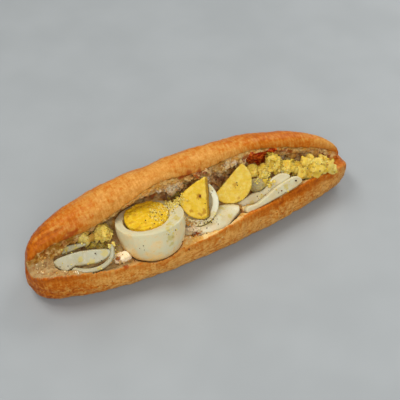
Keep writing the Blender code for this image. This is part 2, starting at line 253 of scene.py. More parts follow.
def fine_mesh(node, voxel, rounds):
    """The node's shape as small even faces, voxel mm wide, smoothed for some rounds."""
    draft = bpy.data.objects.new("draft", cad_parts[node].data.copy())
    SCENE.collection.objects.link(draft)
    weld = draft.modifiers.new("weld", "WELD")
    weld.merge_threshold = WELD_REACH
    remesh = draft.modifiers.new("remesh", "REMESH")
    remesh.mode = "VOXEL"
    remesh.voxel_size = voxel * MM
    smooth = draft.modifiers.new("smooth", "SMOOTH")
    smooth.iterations = rounds
    ready = draft.evaluated_get(bpy.context.evaluated_depsgraph_get())
    mesh = bpy.data.meshes.new_from_object(ready)
    mesh.name = node
    mesh.materials.clear()
    bpy.data.objects.remove(draft)
    return mesh


def points_of(mesh):
    """The places of a mesh's vertices, one row each."""
    flat = np.empty(len(mesh.vertices) * 3)
    mesh.vertices.foreach_get("co", flat)
    return flat.reshape(-1, 3)


def normals_of(mesh):
    """The directions in which a mesh's vertices face, one row each."""
    flat = np.empty(len(mesh.vertices) * 3)
    mesh.vertex_normals.foreach_get("vector", flat)
    return flat.reshape(-1, 3)


def move_to(mesh, points):
    """Puts a mesh's vertices at the given points."""
    mesh.vertices.foreach_set("co", points.ravel())
    mesh.update()


def push(mesh, distance):
    """Moves each vertex along its own normal by a distance in mm: out if positive, in if negative."""
    move_to(mesh, points_of(mesh) + normals_of(mesh) * (distance * MM)[:, None])


def mark(mesh, name, values):
    """Stores one number for each vertex, which a material can read by its name."""
    layer = mesh.attributes.get(name) or mesh.attributes.new(name, "FLOAT", "POINT")
    layer.data.foreach_set("value", np.asarray(values, np.float32))


def close_to(points, spots, edge=0.35):
    """1 near any of the spots, each a (place, reach in mm) pair, and 0 away from all of them. The larger
    edge is, the more ragged is their outline."""
    result = np.zeros(len(points))
    for place, reach in spots:
        distance = np.linalg.norm(points - place, axis=1) / MM
        ragged = distance + edge * reach * cloud(points, max(1.2, reach * 0.45), 7)
        result = np.maximum(result, ease(ragged, reach, reach * 0.55))
    return result


# %% [markdown]
# ## Where crust ends and crumb begins
# The roll was baked whole and cut open afterwards, so it has two skins: brown crust outside, and torn
# crumb on both cut faces. They meet along the edge of the cut. Some faces are plain cases: one that looks
# across the mouth at the other half is crumb, and one that sees nothing of the roll is crust. On the upper
# half the knife's line is a known height that rises from both ends. From these sure faces both skins grow
# over the rest at once, and a step over a bend costs much more than a step over a flat, so they meet at the
# sharpest edges. Picking faces by hand or by height alone would fail at the ends, where the cut curls round.

# %% The line of the upper cut
UPPER_CUT_MIDDLE = -2.0
UPPER_CUT_HALF = 115.0
UPPER_CUT_TOP = 50.0
UPPER_CUT_LEFT = (27.0, 1.75)
UPPER_CUT_RIGHT = (22.0, 2.2)
UPPER_CUT_SWELLS = ((-72, 30, -4.5), (-24, 12, 3.0), (7, 12, -2.0), (44, 16, 3.0), (86, 14, -3.0))


def upper_cut_height(along):
    """How high the upper half's cut edge runs, in mm, at a place along the roll in mm."""
    share = (along - UPPER_CUT_MIDDLE) / UPPER_CUT_HALF
    tip, bluntness = UPPER_CUT_LEFT if share < 0 else UPPER_CUT_RIGHT
    height = tip + (UPPER_CUT_TOP - tip) * math.sqrt(max(0.0, 1 - abs(share) ** bluntness))
    swells = (rise * math.exp(-((along - place) / reach) ** 2) for place, reach, rise in UPPER_CUT_SWELLS)
    return height + sum(swells)


# %% Find the cut edge
SHELL_WELD = 0.001 * MM
STEP_COST = 0.02
BEND_COST = 40.0
FACING_REACH = 60 * MM
OUTSIDE_REACH = 150 * MM
HINGE_PLACE = 6 * MM
UPPER_HALF_HEIGHT = 27 * MM
CLOSED_TIP = 105 * MM
CLEAR_OF_FACE = 0.5 * MM
FACES_MOUTH = -0.3
FACES_LEFT_TIP = -0.9
FACES_UP = 0.4


def sure_skin(face, roll_faces):
    """True where a face is surely crumb, False where it's surely crust, and None in between."""
    centre, facing = face.calc_center_median(), face.normal
    start = centre + facing * CLEAR_OF_FACE
    if centre.y < HINGE_PLACE and roll_faces.ray_cast(start, facing, FACING_REACH)[0] is not None:
        return True
    if centre.z > UPPER_HALF_HEIGHT:
        below_cut = centre.z < upper_cut_height(centre.x / MM) * MM
        return below_cut and facing.y < FACES_MOUTH and facing.x > FACES_LEFT_TIP
    if centre.x > CLOSED_TIP:
        return False
    outwards = Vector((facing.x, facing.y, min(facing.z, 0))).normalized()
    if facing.z < FACES_UP and roll_faces.ray_cast(start, outwards, OUTSIDE_REACH)[0] is None:
        return False
    return None


def grow_skins(shell, roll_faces):
    """For each face of the roll, True for crumb and False for crust."""
    sure = {face.index: sure_skin(face, roll_faces) for face in shell.faces}
    queue = [(0.0, index, skin) for index, skin in sure.items() if skin is not None]
    heapq.heapify(queue)
    skins = {}
    while queue:
        cost, index, skin = heapq.heappop(queue)
        if index in skins:
            continue
        skins[index] = skin
        face = shell.faces[index]
        for edge in face.edges:
            bend = edge.calc_face_angle(0.0)
            for other in edge.link_faces:
                if other.index not in skins:
                    step = (other.calc_center_median() - face.calc_center_median()).length / MM
                    further = cost + STEP_COST * step + BEND_COST * bend ** 2
                    heapq.heappush(queue, (further, other.index, skin))
    return skins


def turn_islands(shell, skins):
    """Gives every patch of a skin, except its largest, the skin that surrounds it."""
    patches, waiting = [], set(skins)
    while waiting:
        patch = [waiting.pop()]
        for index in patch:
            near = {other.index for edge in shell.faces[index].edges for other in edge.link_faces}
            alike = {other for other in near & waiting if skins[other] == skins[index]}
            waiting -= alike
            patch += alike
        patches.append(patch)
    for skin in (True, False):
        for patch in sorted((patch for patch in patches if skins[patch[0]] == skin), key=len)[:-1]:
            skins.update(dict.fromkeys(patch, not skin))


shell = bmesh.new()
shell.from_mesh(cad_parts["bread_roll"].data)
bmesh.ops.remove_doubles(shell, verts=shell.verts, dist=SHELL_WELD)
shell.faces.ensure_lookup_table()
shell.faces.index_update()
shell.normal_update()
roll_faces = BVHTree.FromBMesh(shell)
skins = grow_skins(shell, roll_faces)
turn_islands(shell, skins)
print("crumb faces:", sum(skins.values()), "of", len(skins))

# %% [markdown]
# The distance to the cut edge is worth keeping: the crust of the lower lip is darkest right beside it, and
# the crumb is driest there. It's positive on the crust and negative on the crumb. At the right end of the
# upper half and along the right part of the lower lip the crust curls in over the cut, so its border lies
# further inside.

# %% Distance from the cut edge
EDGE_SPACING = 0.4 * MM
CURLED_IN = 3.5
LIP_CURL = 2.2


def cut_edge_points(shell, skins):
    """Points close together along every edge where crust meets crumb."""
    found = []
    for edge in shell.edges:
        sides = {skins[face.index] for face in edge.link_faces}
        if len(sides) == 2:
            start, end = (vertex.co for vertex in edge.verts)
            steps = max(1, int((end - start).length / EDGE_SPACING))
            found += [start.lerp(end, step / steps) for step in range(steps)]
    return found


def tree_of(points):
    """A search tree that finds the nearest of many points."""
    tree = KDTree(len(points))
    for index, point in enumerate(points):
        tree.insert(point, index)
    tree.balance()
    return tree


cut_edge = tree_of(cut_edge_points(shell, skins))


def distance_from_cut(points):
    """For each point its distance in mm from the cut edge, negative where the crumb is."""
    result = np.empty(len(points))
    for index, point in enumerate(points):
        place = Vector(point)
        on_crumb = skins[roll_faces.find_nearest(place)[2]]
        result[index] = cut_edge.find(place)[2] / MM * (-1 if on_crumb else 1)
    along, _, height = (points / MM).T
    upper_end = CURLED_IN * ease(along, 88, 100) * ease(height, 25, 28)
    return result + upper_end + LIP_CURL * ease(along, -5, 25) * ease(height, 30, 26)


# %% [markdown]
# ## The roll's fine surface
# The crust needs faces of about a millimetre. The torn crumb needs them twice as fine, but only near the
# cut edge, because the egg hides the rest. So the whole roll is remeshed at one size, and the faces near
# the cut edge, nearly all on the crumb side, are split once more.

# %% Remesh the roll
ROLL_VOXEL = 1.15
ROLL_ROUNDS = 2
FINE_CRUMB_REACH = 19.0
FINE_CRUST_REACH = 0.8


def split_faces(mesh, chosen):
    """Splits each chosen face into four."""
    work = bmesh.new()
    work.from_mesh(mesh)
    work.verts.ensure_lookup_table()
    edges = {edge for face in work.faces if all(chosen[v.index] for v in face.verts) for edge in face.edges}
    bmesh.ops.subdivide_edges(work, edges=list(edges), cuts=1, use_grid_fill=True, smooth=0.0)
    work.to_mesh(mesh)
    work.free()


roll_mesh = fine_mesh("bread_roll", ROLL_VOXEL, ROLL_ROUNDS)
from_cut = distance_from_cut(points_of(roll_mesh))
split_faces(roll_mesh, (from_cut < FINE_CRUST_REACH) & (from_cut > -FINE_CRUMB_REACH))
from_cut = distance_from_cut(points_of(roll_mesh))
print("roll:", len(roll_mesh.vertices), "vertices,", len(roll_mesh.polygons), "faces")

# %% [markdown]
# Torn crumb is a sponge of bubbles, from pinholes to holes of 4 mm, on top of lumps and shreds where the
# bread was pulled apart. The bubbles are dents around scattered centres, the shreds are chips. A few flaps
# of crumb hang out and a few hollows are torn deeper, where the photo shows them. The relief fades out
# towards the cut edge, whose line stays. Where the crumb faces up, as on the lower half, the knife cut it
# cleanly: there the relief is faint and only goes inwards, so that no egg is buried. Only the bare left end,
# where nothing lies on it, is rougher.

# %% Tear the crumb
BUBBLES = ((4.4, 1.9, 11), (2.4, 1.2, 21), (1.4, 0.7, 31))
CRUMB_FLAPS = (
    (160, 190, 4.0), (167, 188, 4.5), (174, 187, 4.0), (174, 192, 2.2), (180, 184, 3.0), (188, 177, 2.4),
    (197, 173, 2.4), (215, 168, 4.0), (223, 165, 4.0), (231, 162, 3.5), (240, 161, 3.5), (292, 157, 4.0),
    (208, 178, 2.6), (283, 161, 3.0), (219, 173, 2.8), (227, 171, 2.6),
)
CRUMB_TIP = ((26, 264, 3.0), (28, 268, 3.2), (31, 271, 3.0), (30, 264, 3.0))
CRUMB_HOLLOWS = (
    (166, 200, 5.0), (175, 199, 5.5), (184, 194, 5.0), (190, 188, 4.0), (215, 178, 3.4), (221, 181, 4.0),
    (228, 174, 2.4), (213, 186, 3.6), (286, 166, 3.5), (303, 157, 3.0), (148, 200, 3.0), (241.5, 210, 3.2),
    (304, 179, 3.2), (88, 242, 4.0), (84, 245, 3.0), (70, 269, 2.4), (188, 223, 4.0), (254, 190, 3.5),
)


def on_the_roll(listed):
    """The listed places of the picture on the roll itself, as (point, reach in mm) pairs."""
    hits = [
        (roll_faces.ray_cast(camera.location, sight_line(across, down))[0], reach)
        for across, down, reach in listed
    ]
    return [(np.array(point), reach) for point, reach in hits if point]


def crumb_relief(points, normals, depth):
    """How far the torn crumb moves along its normals in mm; depth is the distance behind the cut edge."""
    inside = ease(depth, 0.1, 2.4)
    lumps = 1.2 * cloud(points, 8, 3) + 0.8 * cloud(points, 3.6, 5) + 0.5 * chips(points, 3.1, 8)
    lumps += 2.4 * close_to(points, on_the_roll(CRUMB_FLAPS), 0.5)
    lumps -= 2.6 * close_to(points, on_the_roll(CRUMB_HOLLOWS), 0.5)
    bubbles = np.zeros(len(points))
    for size, deep, seed in BUBBLES:
        bubbles += deep * ease(cells(points, size, seed)[0], 0.48, 0.12)
    bare_end = ease(points[:, 0] / MM, -88, -97)
    faces_up = ease(normals[:, 2], 0.1, 0.6) * (1 - 0.7 * bare_end)
    bubbles *= 1 - 0.75 * faces_up
    lumps = lumps * (1 - faces_up) + (np.minimum(lumps, 0) * 0.12 - 0.2) * faces_up
    return inside * (lumps - bubbles), bubbles


points = points_of(roll_mesh)
normals = normals_of(roll_mesh)
ragged = 0.8 * cloud(points, 7, 43) + 0.7 * cloud(points, 2.6, 41) + 0.35 * cloud(points, 1.1, 42)
is_crumb = ease(from_cut + ragged, 0.45, -0.35)
is_crumb = np.maximum(is_crumb, close_to(points, on_the_roll(CRUMB_TIP), 0.3))
torn, bubbles = crumb_relief(points, normals, -from_cut)
# Painted shade: the pore mark darkens the crumb inside its bubbles.
mark(roll_mesh, "pore", np.clip(bubbles / 2.2, 0, 1))
# Painted light: `pale` makes the raised flaps near-white, partly pale crumb and partly a painted highlight,
# and `deep` darkens the torn hollows, a painted shade.
mark(roll_mesh, "pale", close_to(points, on_the_roll(CRUMB_FLAPS), 0.5))
mark(roll_mesh, "deep", close_to(points, on_the_roll(CRUMB_HOLLOWS), 0.5))

# %% [markdown]
# The crust is smooth with fine wrinkles that run round the roll, where it shrank as it cooled, and along
# it at the left end. Its lower half is rougher and has small pits. A rolled lip stands just outside the
# cut, and one long fold runs over the left end of the upper half, where the dough was folded. The fold is
# a row of overlapping spots along a bent line, with a shallow groove under it.

# %% Wrinkle the crust
FOLD_STEPS = 20
FOLD_START = (33, 242)
FOLD_SPAN = (27, -16)
FOLD_BEND = 0.7
FOLD_WIDTH = 1.5
GROOVE_SHIFT = (1, 3)
FOLD = [
    (
        FOLD_START[0] + FOLD_SPAN[0] * step / FOLD_STEPS,
        FOLD_START[1] + FOLD_SPAN[1] * (step / FOLD_STEPS) ** FOLD_BEND,
        FOLD_WIDTH,
    )
    for step in range(FOLD_STEPS + 1)
]
UNDER_FOLD = [(across + GROOVE_SHIFT[0], down + GROOVE_SHIFT[1], FOLD_WIDTH) for across, down, _ in FOLD]


def crust_relief(points, from_cut):
    """How far the crust moves along its normals, in mm."""
    along, _, height = (points / MM).T
    left_end = ease(along, -60, -90)
    round_it = 0.2 * cloud(points, 2.1, 51, (1, 4, 4)) + 0.26 * cloud(points, 4.6, 52, (1, 3, 3))
    along_it = 0.34 * cloud(points, 2.4, 57, (5, 1, 1))
    swells = 0.55 * cloud(points, 15, 53) + 0.36 * cloud(points, 6, 54) + 0.14 * cloud(points, 2.2, 59)
    rough = ease(height, 24, 8)
    pitted = -0.55 * ease(cells(points, 2.6, 55)[0], 0.34, 0.08) + 0.2 * cloud(points, 1.5, 58)
    lip = 0.35 * ease(from_cut, 4.0, 0.6)
    fold = 0.8 * close_to(points, on_the_roll(FOLD), 0.2)
    fold -= 0.4 * close_to(points, on_the_roll(UNDER_FOLD), 0.3)
    return round_it * (1 - left_end) + along_it * left_end + swells + rough * pitted + lip + fold


def free_of_floor(points):
    """1 where the surface is free to move, 0 where it lies on the floor."""
    return ease(points[:, 2] / MM, 0.3, 2.5)


relief = is_crumb * torn + (1 - is_crumb) * crust_relief(points, from_cut) * free_of_floor(points)
push(roll_mesh, relief)
mark(roll_mesh, "crumb", is_crumb)
print("roll relief from", round(relief.min(), 2), "to", round(relief.max(), 2), "mm")

# %% [markdown]
# ## How deep the crust is browned
# An oven browns what stands out: the ends, the crown's far side and the lower lip of the cut. The sides
# stay golden, and the lower flank, which leaned on the next roll in the oven, stays pale. Along the right
# end the crown's browning is left out and the browning eases off towards the tip: that is painted light on
# an end that turns away from the main lamp. One number for each vertex holds this, from 0 for pale to 1
# for deep brown. The material turns it into colour. Two more numbers mark the crumb: `edge` where it has
# dried under the upper cut, and `low` on the lower half, most where it lies bare at the left end: `low` is a
# painted shade where that crumb faces up into the light.

# %% Brown the crust
def browning(points, from_cut):
    """How deeply each point of the crust is browned, from 0 to 1."""
    along, across, height = (points / MM).T
    upper = ease(height + 3 * cloud(points, 14, 64), 22, 35)
    left_end, right_end = ease(along, -60, -108), ease(along, 10, 50) * ease(along, 108, 84)
    lip = ease(from_cut - 3.5 * ease(along, 0, 40), 6.5, 1.5)
    crown = ease(across, 8, 27) * upper
    patches = 0.09 * cloud(points, 24, 61) + 0.09 * cloud(points, 9, 62) + 0.07 * cloud(points, 3.4, 63)
    # Painted highlight and shade: the fold's ridge is painted paler and the groove under it browner.
    fold = 0.1 * close_to(points, on_the_roll(UNDER_FOLD), 0.3)
    fold -= 0.3 * close_to(points, on_the_roll(FOLD), 0.2)
    # Painted light: the crown's browning is left out along the right end, and right_end eases off at the tip,
    # so that end, turned away from the main lamp, is paler.
    top = 0.27 + 0.5 * left_end + 0.3 * right_end - 0.06 * lip + 0.18 * crown * (1 - right_end) + fold
    bottom = 0.22 + (0.2 + 0.26 * ease(along, 0, 50)) * lip + 0.42 * left_end - 0.12 * ease(height, 9, 2)
    return np.clip(upper * top + (1 - upper) * bottom + patches, 0, 1)


brown = browning(points_of(roll_mesh), from_cut)
mark(roll_mesh, "brown", brown)
along, _, height = (points_of(roll_mesh) / MM).T
far_left = ease(along, -74, -88)
mark(roll_mesh, "edge", np.maximum(ease(-from_cut, 6.5, 0.5), far_left) * ease(height, 25, 29))
# Painted shade: `low` darkens and greys the lower half's crumb, which faces up into the light, most at the
# bare left end.
mark(roll_mesh, "low", ease(height, 30, 26) * (0.2 + 0.8 * ease(along, -40, -70)))
print("browning from", round(brown.min(), 2), "to", round(brown.max(), 2))

# %% [markdown]
# ## Building materials
# A material is a small machine of nodes. This helper keeps each of its lines short: `put` adds a node,
# `grain` and `pits` add textures sized in millimetres, `mark` reads a number stored on the mesh, `span`
# stretches a range and `mix` blends two colours. Colours are written as on a screen, from 0 to 255, and
# turned into the linear values that light is reckoned in.

# %% Material helper
def colour(red, green, blue):
    """A screen colour, 0 to 255, as linear values with full opacity."""
    def straight(value):
        share = value / 255
        return share / 12.92 if share <= 0.04045 else ((share + 0.055) / 1.055) ** 2.4
    return (straight(red), straight(green), straight(blue), 1.0)


class Finish:
    """One material and its nodes."""

    def __init__(self, name, **sockets):
        self.material = bpy.data.materials.new(name)
        self.material.use_nodes = True
        self.tree = self.material.node_tree
        self.shader = self.tree.nodes["Principled BSDF"]
        self.set(**sockets)

    def set(self, **sockets):
        """Sets or links the shader's own sockets; an underscore stands for a space."""
        for name, value in sockets.items():
            self.feed(self.shader.inputs[name.replace("_", " ")], value)

    def feed(self, socket, value):
        """Links a socket to another one, or gives it a value."""
        if isinstance(value, bpy.types.NodeSocket):
            self.tree.links.new(value, socket)
        else:
            socket.default_value = value

    def put(self, kind, inputs, **settings):
        """Adds a node, sets it up and feeds its sockets."""
        node = self.tree.nodes.new("ShaderNode" + kind)
        for name, value in settings.items():
            setattr(node, name, value)
        for name, value in inputs.items():
            self.feed(node.inputs[name], value)
        return node

    def place(self, stretch=(1, 1, 1)):
        """Places on the piece, in metres; a stretch of 4 makes a texture four times as long that way."""
        spot = self.put("TexCoord", {}).outputs["Object"]
        scale = tuple(1 / side for side in stretch)
        return self.put("Mapping", {"Vector": spot, "Scale": scale}).outputs["Vector"]

    def grain(self, size, detail=3.0, stretch=(1, 1, 1), roughness=0.55):
        """Cloudy noise whose spots are about size mm wide."""
        inputs = {"Vector": self.place(stretch), "Scale": 1 / (size * MM), "Detail": detail}
        return self.put("TexNoise", {**inputs, "Roughness": roughness}).outputs["Fac"]

    def pits(self, size):
        """Distance from scattered centres that are about size mm apart."""
        inputs = {"Vector": self.place(), "Scale": 1 / (size * MM)}
        return self.put("TexVoronoi", inputs).outputs["Distance"]

    def mark(self, name):
        """A number stored on the mesh."""
        return self.put("Attribute", {}, attribute_name=name).outputs["Fac"]

    def height(self):
        """The height above the floor, in metres."""
        return self.put("SeparateXYZ", {"Vector": self.place()}).outputs["Z"]

    def span(self, value, low, high, to_low=0.0, to_high=1.0):
        """Maps low..high smoothly to to_low..to_high, and holds the ends beyond."""
        inputs = {"Value": value, "From Min": low, "From Max": high, "To Min": to_low, "To Max": to_high}
        return self.put("MapRange", inputs, interpolation_type="SMOOTHSTEP").outputs["Result"]

    def sum(self, kind, first, second):
        """One sum on two numbers, such as ADD or MULTIPLY."""
        return self.put("Math", {0: first, 1: second}, operation=kind).outputs[0]

    def mix(self, share, first, second, blend="MIX"):
        """The first colour, going over to the second as share goes from 0 to 1."""
        node = self.put("Mix", {}, data_type="RGBA", blend_type=blend)
        for socket, value in ((node.inputs[0], share), (node.inputs[6], first), (node.inputs[7], second)):
            self.feed(socket, value)
        return node.outputs[2]

    def ramp(self, value, *stops):
        """A row of colours along 0 to 1, as (place, colour) pairs."""
        node = self.put("ValToRGB", {"Fac": value})
        row = node.color_ramp.elements
        while len(row) < len(stops):
            row.new(0.5)
        for element, (spot, paint) in zip(row, stops):
            element.position = spot
            element.color = paint
        return node.outputs["Color"]

    def bump(self, height, depth, strength, under=None):
        """Fine relief for the light: height from 0 to 1 stands for depth mm."""
        inputs = {"Height": height, "Distance": depth * MM, "Strength": strength}
        if under is not None:
            inputs["Normal"] = under
        return self.put("Bump", inputs).outputs["Normal"]


# %% [markdown]
# ## Bread: crust and crumb in one material
# Crust and crumb are one piece of bread, so they share one material, and the stored number `crumb` says
# which of them shows. Two materials on separate faces would meet in a line of steps. The crust's colour is
# a ramp from pale tan over gold to deep brown, read at the browning plus some grain, so that freckles
# come out darker only where the bread is already brown. The crumb is pale, and tan in its pores, which is
# painted shade. It is nearly white on its flaps, partly its own pale crumb and partly a painted highlight,
# and deep brown in its hollows, a painted shade. It is dried to an olive brown just under the upper edge,
# and darker and greyer on the lower half and most at the bare left end, a painted shade where that crumb
# faces up into the light.

# %% Bread material
PALE_TAN = colour(226, 166, 86)
GOLD = colour(206, 140, 60)
AMBER = colour(194, 104, 16)
DEEP_BROWN = colour(154, 68, 4)
PIT_BROWN = colour(116, 58, 10)
CRUMB_PALE = colour(246, 214, 146)
CRUMB_TAN = colour(232, 174, 80)
CRUMB_PORE_SHADE = colour(206, 130, 54)
CRUMB_PALE_AND_HIGHLIGHT = colour(252, 238, 206)
CRUMB_HOLLOW_SHADE = colour(138, 66, 20)
CRUMB_EDGE = colour(156, 106, 34)
CRUMB_LOW_SHADE = colour(170, 142, 98)
SAUCE_STAIN_AND_SHADOW = colour(156, 58, 16)


def bread_finish():
    """Crust and crumb in one material, read from the marks on the mesh."""
    bread = Finish("baked_bread")
    wrinkle = bread.grain(1.4, 4, (1, 3.5, 3.5), 0.65)
    freckle = bread.grain(2.4, 5, (1.5, 1, 1), 0.7)
    streak = bread.grain(1.8, 4, (1.8, 1, 1), 0.75)
    low = bread.span(bread.height(), 26 * MM, 14 * MM)
    shade = bread.sum("ADD", bread.mark("brown"), bread.span(wrinkle, 0.34, 0.66, -0.12, 0.12))
    shade = bread.sum("ADD", shade, bread.span(freckle, 0.32, 0.68, -0.14, 0.14))
    shade = bread.sum("ADD", shade, bread.sum("MULTIPLY", low, bread.span(streak, 0.34, 0.66, -0.3, 0.3)))
    crust = bread.ramp(shade, (0.0, PALE_TAN), (0.3, GOLD), (0.6, AMBER), (1.0, DEEP_BROWN))
    pitted = bread.sum("MULTIPLY", bread.span(bread.pits(3.2), 0.2, 0.1), low)
    crust = bread.mix(bread.sum("MULTIPLY", pitted, 0.7), crust, PIT_BROWN)
    crumb = bread.mix(bread.span(bread.grain(5, 4), 0.38, 0.62), CRUMB_PALE, CRUMB_TAN)
    # Painted shade on the lower half's up-facing crumb.
    crumb = bread.mix(bread.sum("MULTIPLY", bread.mark("low"), 0.8), crumb, CRUMB_LOW_SHADE)
    # Painted highlight on the flaps, partly their own pale crumb.
    crumb = bread.mix(bread.sum("MULTIPLY", bread.mark("pale"), 0.95), crumb, CRUMB_PALE_AND_HIGHLIGHT)
    dried = bread.sum("MULTIPLY", bread.mark("edge"), bread.span(bread.grain(3, 4), 0.35, 0.6, 0.4, 1.0))
    crumb = bread.mix(dried, crumb, CRUMB_EDGE)
    # Painted shade in the torn hollows.
    crumb = bread.mix(bread.sum("MULTIPLY", bread.mark("deep"), 0.75), crumb, CRUMB_HOLLOW_SHADE)
    # Painted shade in the pores: the bubbles and finer pits are darkened towards a tan brown.
    pore = bread.sum("MAXIMUM", bread.mark("pore"), bread.span(bread.pits(1.5), 0.3, 0.1))
    pore = bread.sum("MULTIPLY", pore, bread.span(bread.mark("pale"), 0.2, 0.9, 1.0, 0.4))
    crumb = bread.mix(pore, crumb, bread.mix(0.7, crumb, CRUMB_PORE_SHADE, "MULTIPLY"))
    base = bread.mix(bread.mark("crumb"), crust, crumb)
    # Sauce stains, and at two spots under the upper lip a painted shadow.
    base = bread.mix(bread.mark("stain"), base, SAUCE_STAIN_AND_SHADOW)
    gloss = bread.span(bread.mark("crumb"), 0.0, 1.0, 0.42, 0.85)
    ripple = bread.bump(wrinkle, 0.35, 0.5)
    pores = bread.bump(bread.pits(0.9), 0.4, bread.span(bread.mark("crumb"), 0, 1, 0.12, 0.6), ripple)
    bread.set(Base_Color=base, Roughness=gloss, Normal=pores, Subsurface_Weight=0.08, Subsurface_Scale=2 * MM)
    bread.set(Specular_IOR_Level=0.1)
    return bread.material


bread_material = bread_finish()
roll_mesh.materials.append(bread_material)
add_piece("bread_roll_baked", roll_mesh, "crust", "bread_roll")
print("bread material:", len(bread_material.node_tree.nodes), "nodes")

# %% [markdown]
# ## Boiled egg white
# Cooked white is smooth, firm and slightly see-through, so light that enters it comes out a few
# millimetres away. That softness is subsurface scattering. Its outer skin is cool on top and a warm cream
# lower down: this gradient by height is partly the white's own tone and partly painted light, a warm bounce
# from the bread below. The slices at the left lie deeper, and their greyer colour is painted shade. Yolk
# has rubbed off on all of them as faint greenish yellow smears.

# %% Egg white material
SMEAR_YELLOW = colour(200, 176, 62)
CUT_TOP_PAINTED_SHADE = colour(194, 188, 152)


def white_finish(name, low, high, warm, cool):
    """Egg white that is warm at height low and cool at height high, both in mm; the gradient is partly
    painted light.
    """
    white = Finish(name, Subsurface_Weight=0.3, Subsurface_Scale=2 * MM, Specular_IOR_Level=0.45)
    white.set(Subsurface_Radius=(1.0, 0.8, 0.5))
    # Painted light: the warm-to-cool rise by height is partly a painted warm bounce from the bread below.
    rise = white.span(white.height(), low * MM, high * MM)
    mottle = white.span(white.grain(6, 3), 0.3, 0.7, -0.35, 0.35)
    base = white.mix(white.sum("ADD", rise, mottle), warm, cool)
    # Painted shade: the big egg's cut top, which faces up into the light, is darkened.
    base = white.mix(white.sum("MULTIPLY", white.mark("cut"), 0.75), base, CUT_TOP_PAINTED_SHADE)
    base = white.mix(white.mark("smear"), base, SMEAR_YELLOW)
    white.set(Base_Color=base, Roughness=white.span(white.grain(3), 0.3, 0.7, 0.26, 0.42))
    white.set(Normal=white.bump(white.grain(1.6, 3), 0.18, 0.5))
    return white.material


big_white = white_finish("egg_white_big", 17, 38, colour(255, 200, 104), colour(222, 212, 170))
# Painted shade: the slices lie deeper in the mouth and are given greyer, darker tones.
slice_white_painted_shade = white_finish("egg_white_slices", 18, 34, colour(176, 158, 108), colour(180, 175, 144))
soft_white = white_finish("egg_white_pieces", 14, 44, colour(210, 188, 138), colour(212, 208, 174))

# %% [markdown]
# ## Boiled yolk
# Cooked yolk is dry and powdery: it breaks into grains and has no shine. Its grains are relief on the
# mesh, at about a millimetre, with finer ones in the material. Light passes only a little way in, which
# keeps its shadows warm instead of grey or olive. The stored number `rind` shows the grey-green skin that
# forms where yolk touches white. `old` shows dried brownish edges and spots, and also painted shade on the
# wedge's right side and a painted shadow line along the big yolk's left and lower rim. `tone` makes one
# crumb paler than the next, and on the two left lumps it is a painted light.

# %% Yolk material
YOLK_RIND = colour(158, 148, 116)
YOLK_BROWNED_AND_SHADE = colour(180, 122, 22)


def yolk_finish(name, light, dark):
    """Yolk whose mottles run between two tones."""
    yolk = Finish(name, Subsurface_Weight=0.35, Subsurface_Scale=2 * MM, Specular_IOR_Level=0.25)
    yolk.set(Subsurface_Radius=(1.0, 0.7, 0.15))
    mottle = yolk.span(yolk.grain(3.2, 4), 0.32, 0.68, 0.0, 0.7)
    base = yolk.mix(yolk.sum("ADD", mottle, yolk.span(yolk.mark("tone"), 0, 1, -0.2, 0.5)), dark, light)
    base = yolk.mix(yolk.mark("rind"), base, YOLK_RIND)
    # The old mark holds browned spots and also painted shade.
    base = yolk.mix(yolk.mark("old"), base, YOLK_BROWNED_AND_SHADE)
    yolk.set(Base_Color=base, Roughness=0.78, Normal=yolk.bump(yolk.grain(0.7, 3), 0.35, 0.7))
    return yolk.material


rich_yolk = yolk_finish("yolk_rich", colour(240, 206, 74), colour(224, 178, 14))
wedge_yolk = yolk_finish("yolk_wedge", colour(238, 208, 106), colour(222, 184, 48))
pale_yolk = yolk_finish("yolk_pale", colour(236, 215, 126), colour(222, 186, 66))
crumb_yolk = yolk_finish("yolk_crumbs", colour(240, 220, 132), colour(226, 188, 66))

# %% [markdown]
# ## The egg pieces
# All pieces of egg start in the same way, so one function makes them: remesh, add relief, store the marks
# that their material reads, and put them in place of their solid. Knife-cut white keeps sharp rims, so it
# is hardly smoothed. Only the big half egg is smoothed much more, and its wall the most, because that is
# the egg's own skin. Broken yolk is made of flat faces in two sizes, each tilted its own way. The number
# beside each piece's name is the size of its faces in mm: small pieces with thin rims get smaller faces.

# %% Make the pieces of egg
EGG_ROUNDS = 1
RIM_ROUNDS = 14
WALL_ROUNDS = 40
WALL_FACING = 0.35
EGG_AXIS = np.array((0.0, -0.35, 0.94))
BIG_YOLK_MIDDLE = np.array((-39.2, -9.8, 40.0)) * MM
EGG_MARKS = ("smear", "rind", "tone", "old", "cut")


def white_relief(points):
    """Egg white is smooth, with long shallow swells."""
    return 0.2 * cloud(points, 7, 71) + 0.06 * cloud(points, 2.2, 72)


def yolk_relief(points):
    """Cut yolk is powdery: swells, small chips and grains."""
    return 0.22 * cloud(points, 3.4, 82) + 0.12 * chips(points, 1.5, 81) + 0.14 * cloud(points, 1.0, 85)


def lump_relief(points):
    """A lump of yolk broken all round, into large and small flat faces."""
    broken = 2.4 * breaks(points, 6, 91) + 0.9 * breaks(points, 2.6, 95)
    return broken + 0.3 * cloud(points, 5, 94) + 0.1 * cloud(points, 1.0, 85)


def block_relief(points):
    """A block of yolk that is only roughly broken."""
    return 1.2 * breaks(points, 4.4, 88) + 0.12 * cloud(points, 1.0, 85)


def big_yolk_relief(points):
    """A yolk that has shrunk from its white on the left and fills its hollow on the far side."""
    along, across, _ = ((points - BIG_YOLK_MIDDLE) / MM).T
    mashed = 0.4 * breaks(points, 3.4, 87) + 0.3 * breaks(points, 1.6, 89)
    return yolk_relief(points) + mashed - 0.9 * ease(along, -8, -13) + 0.7 * ease(across, 5, 12)


